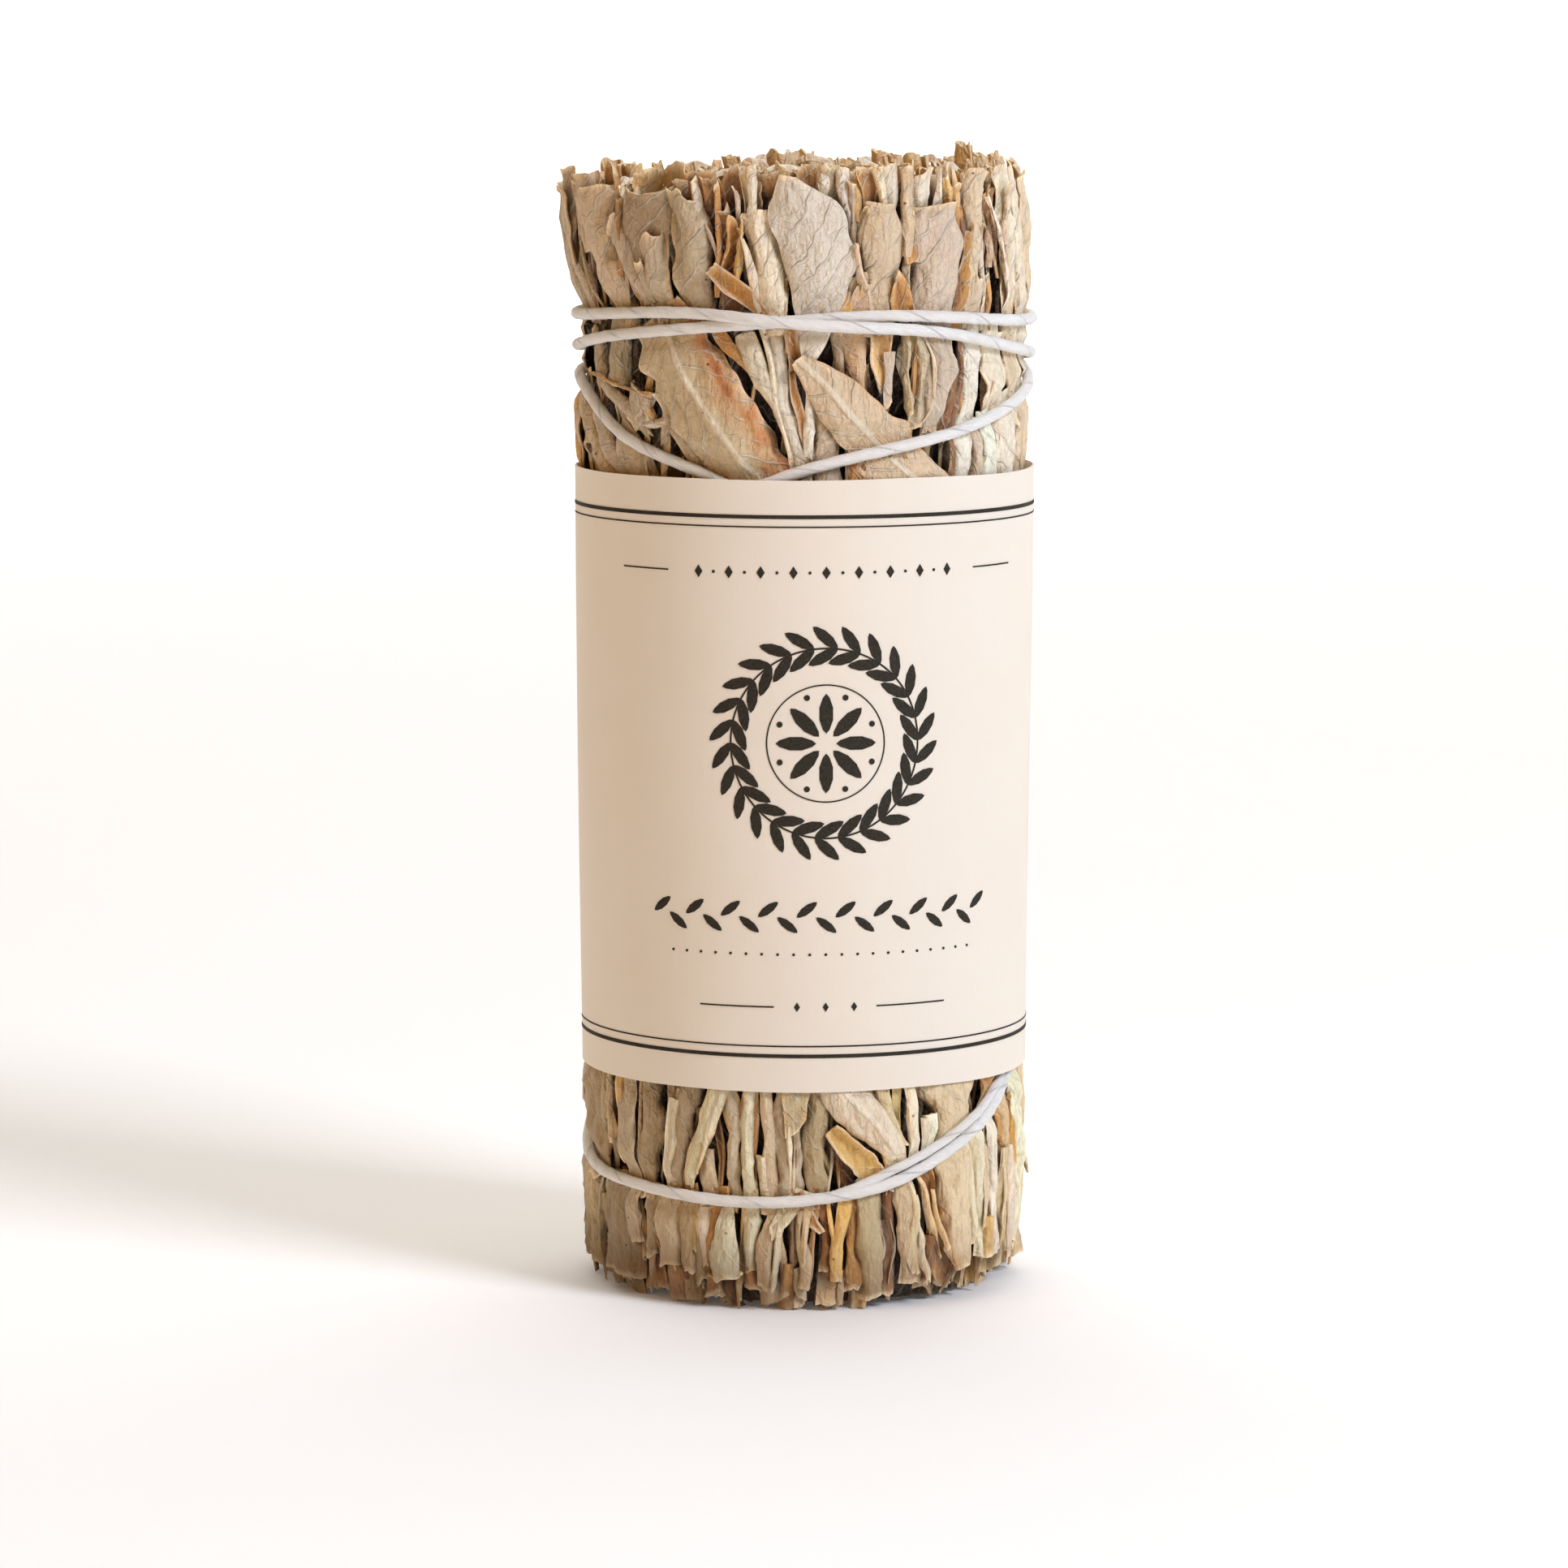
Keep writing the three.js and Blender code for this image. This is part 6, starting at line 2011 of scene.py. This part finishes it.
@dataclass
class BandPrint:
    """A plain printed ornament on the front of the band: a wreath, rows of leaves and rules."""

    band: PaperBand
    material: Material
    across: float = 1.9  # the ornament's middle, along the paper from the front
    thick: float = 0.05
    wreath_height: float = 52.2
    # Name, height, number, gap and motif, its length and width, and how far it leans by turns.
    rows: tuple[tuple[Any, ...], ...] = (
        ("upper_lozenges", 67.6, 9, 2.9, Motif.LOZENGE, (0.75, 1.15), 0.0),
        ("upper_dots", 67.6, 8, 2.9, Motif.DOT, (0.28, 0.28), 0.0),
        ("garland", 36.4, 19, 1.75, Motif.LEAF, (2.3, 0.8), 0.65),
        ("lower_dots", 33.0, 21, 1.45, Motif.DOT, (0.26, 0.26), 0.0),
        ("lower_lozenges", 28.2, 3, 2.6, Motif.LOZENGE, (0.55, 0.85), 0.0),
    )
    # Name, height, length, thickness, and how far to the side it is.
    rules: tuple[tuple[Any, ...], ...] = (
        ("top_rule", 72.6, 66.0, 0.34, 0.0), ("top_fine_rule", 71.7, 66.0, 0.13, 0.0),
        ("low_rule", 23.7, 66.0, 0.34, 0.0), ("low_fine_rule", 24.6, 66.0, 0.13, 0.0),
        ("rule_left", 28.2, 7.0, 0.13, -8.2), ("rule_right", 28.2, 7.0, 0.13, 8.2),
        ("title_rule_left", 67.6, 5.5, 0.13, -17.5), ("title_rule_right", 67.6, 5.5, 0.13, 17.5),
    )

    def build(self) -> None:
        """Makes the flat motifs and bends them round the paper."""
        flat = [
            self._wreath("wreath_out", 26, 8.6, Motif.LEAF, (3.0, 1.05), 0.95),
            self._wreath("wreath_in", 26, 8.6, Motif.LEAF, (3.0, 1.05), 2.2),
            self._ring("wreath_stem", 8.6, 0.16),
            self._ring("inner_ring", 5.3, 0.12),
            self._wreath("star", 8, 0.9, Motif.LEAF, (3.6, 1.3), 0.0),
            self._wreath("star_dots", 8, 4.2, Motif.DOT, (0.55, 0.55), 0.0, math.pi / 8),
        ]
        parts = [(mesh, 0.0, self.wreath_height) for mesh in flat]
        parts += [(self._row(name, *plan), 0.0, height) for name, height, *plan in self.rows]
        for name, height, wide, tall, aside in self.rules:
            parts.append((self._rule(name, wide, tall), aside, height))
        for mesh, aside, height in parts:
            self._wrap(mesh, self.across + aside, height)
        whole = joined("band_print", [mesh for mesh, _, _ in parts])
        place_piece(whole, self.material, "label_paper")

    def _wrap(self, mesh: Mesh, aside: float, height: float) -> None:
        """Moves a flat motif to its place, and bends it round the paper."""
        spots = np.empty(len(mesh.vertices) * 3, np.float32)
        mesh.vertices.foreach_get("co", spots)
        spots = spots.reshape(-1, 3) / MM
        levels = spots[:, 1] + height
        angle = (spots[:, 0] + aside) / UNROLL / DEG
        out = self.band.radius(angle, levels) - 0.015 + spots[:, 2]
        bent = round_axis(out, angle * DEG, levels) * MM
        mesh.vertices.foreach_set("co", bent.astype(np.float32).ravel())

    def _motif(self, recipe: Recipe, motif: Motif, size: tuple[float, float]) -> Any:
        """A flat leaf, dot or lozenge that starts at the origin and points along X."""
        corners, pointed = motif.value
        disc = recipe.add(
            "MeshCylinder", Vertices=corners, Side_Segments=1, Radius=1.0,
            Depth=self.thick * MM,
        )
        place = recipe.add("InputPosition")
        x, y, z = recipe.parts(place)
        long, wide = (part / 2 * MM for part in size)
        y = abs(y).apply("POWER", pointed) * y.apply("SIGN") * wide
        moved = recipe.add("ShaderNodeCombineXYZ", X=x.apply("MULTIPLY_ADD", long, long), Y=y, Z=z)
        shaped = recipe.add("SetPosition", Geometry=disc, Position=moved)
        return recipe.add("SubdivideMesh", Mesh=shaped, Level=1)

    def _wreath(
        self, name: str, count: int, out: float, motif: Motif, size: tuple[float, float],
        lean: float, start: float = 0.0,
    ) -> Mesh:
        """Leaves on a circle, each turned from the circle's spoke by the same angle."""
        recipe = Recipe(name, self.material, Count=count)
        circle = recipe.add("MeshCircle", Vertices=recipe.given["Count"], Radius=out * MM)
        spoke = recipe.add("InputIndex") * (2 * math.pi / count)
        turn = recipe.add("ShaderNodeCombineXYZ", Z=spoke + lean)
        placed = recipe.add(
            "InstanceOnPoints", Points=circle, Instance=self._motif(recipe, motif, size),
            Rotation=turn,
        )
        turned = recipe.add("Transform", Geometry=placed, Rotation=(0, 0, start))
        return self._printed(recipe, turned, name)

    def _row(
        self, name: str, count: int, gap: float, motif: Motif, size: tuple[float, float], lean: float
    ) -> Mesh:
        """Motifs in a level row, that lean up and down by turns."""
        recipe = Recipe(name, self.material, Count=count)
        start = -count * gap / 2 if lean else -(count - 1) * gap / 2 - size[0] / 2
        line = recipe.add(
            "MeshLine", {"mode": "OFFSET"}, Count=recipe.given["Count"],
            Start_Location=(start * MM, 0, 0), Offset=(gap * MM, 0, 0),
        )
        odd = recipe.add("InputIndex").apply("MODULO", 2.0)
        turn = recipe.add("ShaderNodeCombineXYZ", Z=odd.apply("MULTIPLY_ADD", -2 * lean, lean))
        placed = recipe.add(
            "InstanceOnPoints", Points=line, Instance=self._motif(recipe, motif, size),
            Rotation=turn,
        )
        return self._printed(recipe, placed, name)

    def _ring(self, name: str, out: float, wide: float) -> Mesh:
        """A thin flat ring."""
        recipe = Recipe(name, self.material, Count=96)
        circle = recipe.add(
            "CurvePrimitiveCircle", {"mode": "RADIUS"},
            Resolution=recipe.given["Count"], Radius=out * MM,
        )
        section = recipe.add(
            "CurvePrimitiveQuadrilateral", {"mode": "RECTANGLE"},
            Width=wide * MM, Height=self.thick * MM,
        )
        ring = recipe.add("CurveToMesh", Curve=circle, Profile_Curve=section)
        return self._printed(recipe, ring, name)

    def _rule(self, name: str, wide: float, tall: float) -> Mesh:
        """A thin level line, with enough cuts to bend."""
        recipe = Recipe(name, self.material, Count=max(4, round(wide / 0.8)))
        bar = recipe.add(
            "MeshCube", Size=(wide * MM, tall * MM, self.thick * MM),
            Vertices_X=recipe.given["Count"], Vertices_Y=2, Vertices_Z=2,
        )
        return self._printed(recipe, bar, name)

    @staticmethod
    def _printed(recipe: Recipe, geometry: Any, name: str) -> Mesh:
        """Runs a motif's recipe."""
        return recipe.run(geometry, name, [(0, 0, 0), (1, 0, 0)])


# ---- the studio


@dataclass(frozen=True)
class Studio:
    """Camera, lights and a pale floor."""

    camera_place: tuple[float, float, float] = (-1.87, -600.0, 118.2)
    camera_pitch: float = 6.86
    lens: float = 148.9
    room: Colour = (1.0, 0.95, 0.88)
    # Name, place, target, width and height, power in watts, and colour.
    lamps: tuple[tuple[Any, ...], ...] = (
        ("key", (0.62, -0.53, 0.62), (0.0, 0.0, 0.05), (0.32, 0.32), 7.0, (0.84, 0.88, 1.0)),
        ("fill", (-0.95, -0.75, 0.45), (0.0, 0.0, 0.05), (0.8, 0.8), 2.9, (1.0, 0.48, 0.02)),
        ("top", (0.0, 0.2, 1.5), (0.0, 0.2, 0.0), (1.8, 2.0), 11.5, (1.0, 0.95, 0.86)),
        ("far", (0.0, 1.6, 1.3), (0.0, 1.6, 0.0), (3.6, 1.4), 24.0, (1.0, 1.0, 1.0)),
        ("back", (0.0, 0.75, 0.9), (0.0, 2.6, 0.9), (3.0, 0.5), 65.0, (1.0, 1.0, 1.0)),
    )

    def build(self) -> None:
        """Sets everything up."""
        self._camera()
        self._floor()
        self._room()
        for lamp in self.lamps:
            self._area(*lamp)

    def _camera(self) -> None:
        """The camera, on the front and a little above."""
        data = bpy.data.cameras.new("camera")
        data.lens, data.sensor_width = self.lens, 36.0
        data.clip_start, data.clip_end = 0.01, 50
        camera = linked("camera", data)
        camera.location = [v * MM for v in self.camera_place]
        camera.rotation_euler = ((90 - self.camera_pitch) * DEG, 0, 0)
        bpy.context.scene.camera = camera

    @staticmethod
    def _floor() -> None:
        """A pale sheet that runs up behind."""
        section = [(-3.0, 0.0), (2.0, 0.0)]
        section += [(2.0 + 1.0 * math.sin(a), 1.0 - math.cos(a)) for a in np.linspace(0.1, 1.57, 12)]
        section += [(3.0, 5.0)]
        points = [(x, y, z) for y, z in section for x in (-4.0, 4.0)]
        faces = [(2 * k, 2 * k + 1, 2 * k + 3, 2 * k + 2) for k in range(len(section) - 1)]
        mesh = bpy.data.meshes.new("floor")
        mesh.from_pydata(points, [], faces)
        mesh.shade_smooth()
        mesh.materials.append(FloorFinish().build())
        linked("floor", mesh)

    def _room(self) -> None:
        """A dim room, and colours as they are."""
        world = bpy.data.worlds.new("dim_room")
        world.use_nodes = True
        background = world.node_tree.nodes["Background"]
        background.inputs["Color"].default_value = (*self.room, 1.0)
        background.inputs["Strength"].default_value = 0.01
        bpy.context.scene.world = world
        bpy.context.scene.view_settings.view_transform = "Standard"

    @staticmethod
    def _area(name: str, place: Any, target: Any, size: Any, power: float, colour: Colour) -> None:
        """An oblong light."""
        data = bpy.data.lights.new(name, "AREA")
        data.shape = "RECTANGLE"
        data.size, data.size_y = size
        data.energy, data.color = power, colour
        light = linked(name, data)
        light.location = place
        light.rotation_euler = (Vector(target) - Vector(place)).to_track_quat("-Z", "Y").to_euler()


def main() -> None:
    """Builds the pieces in order."""
    logging.basicConfig(level=logging.INFO, format="%(message)s")
    thread = ThreadRoute()
    bundle = Bundle(thread)
    leaf = LeafFinish().build()
    Sprigs(bundle, leaf).build()
    WoundThread(thread, CottonFinish().build()).build()
    band = PaperBand(PaperFinish().build())
    band.build()
    BandPrint(band, InkFinish().build()).build()
    Studio().build()


if __name__ == "__main__":
    main()
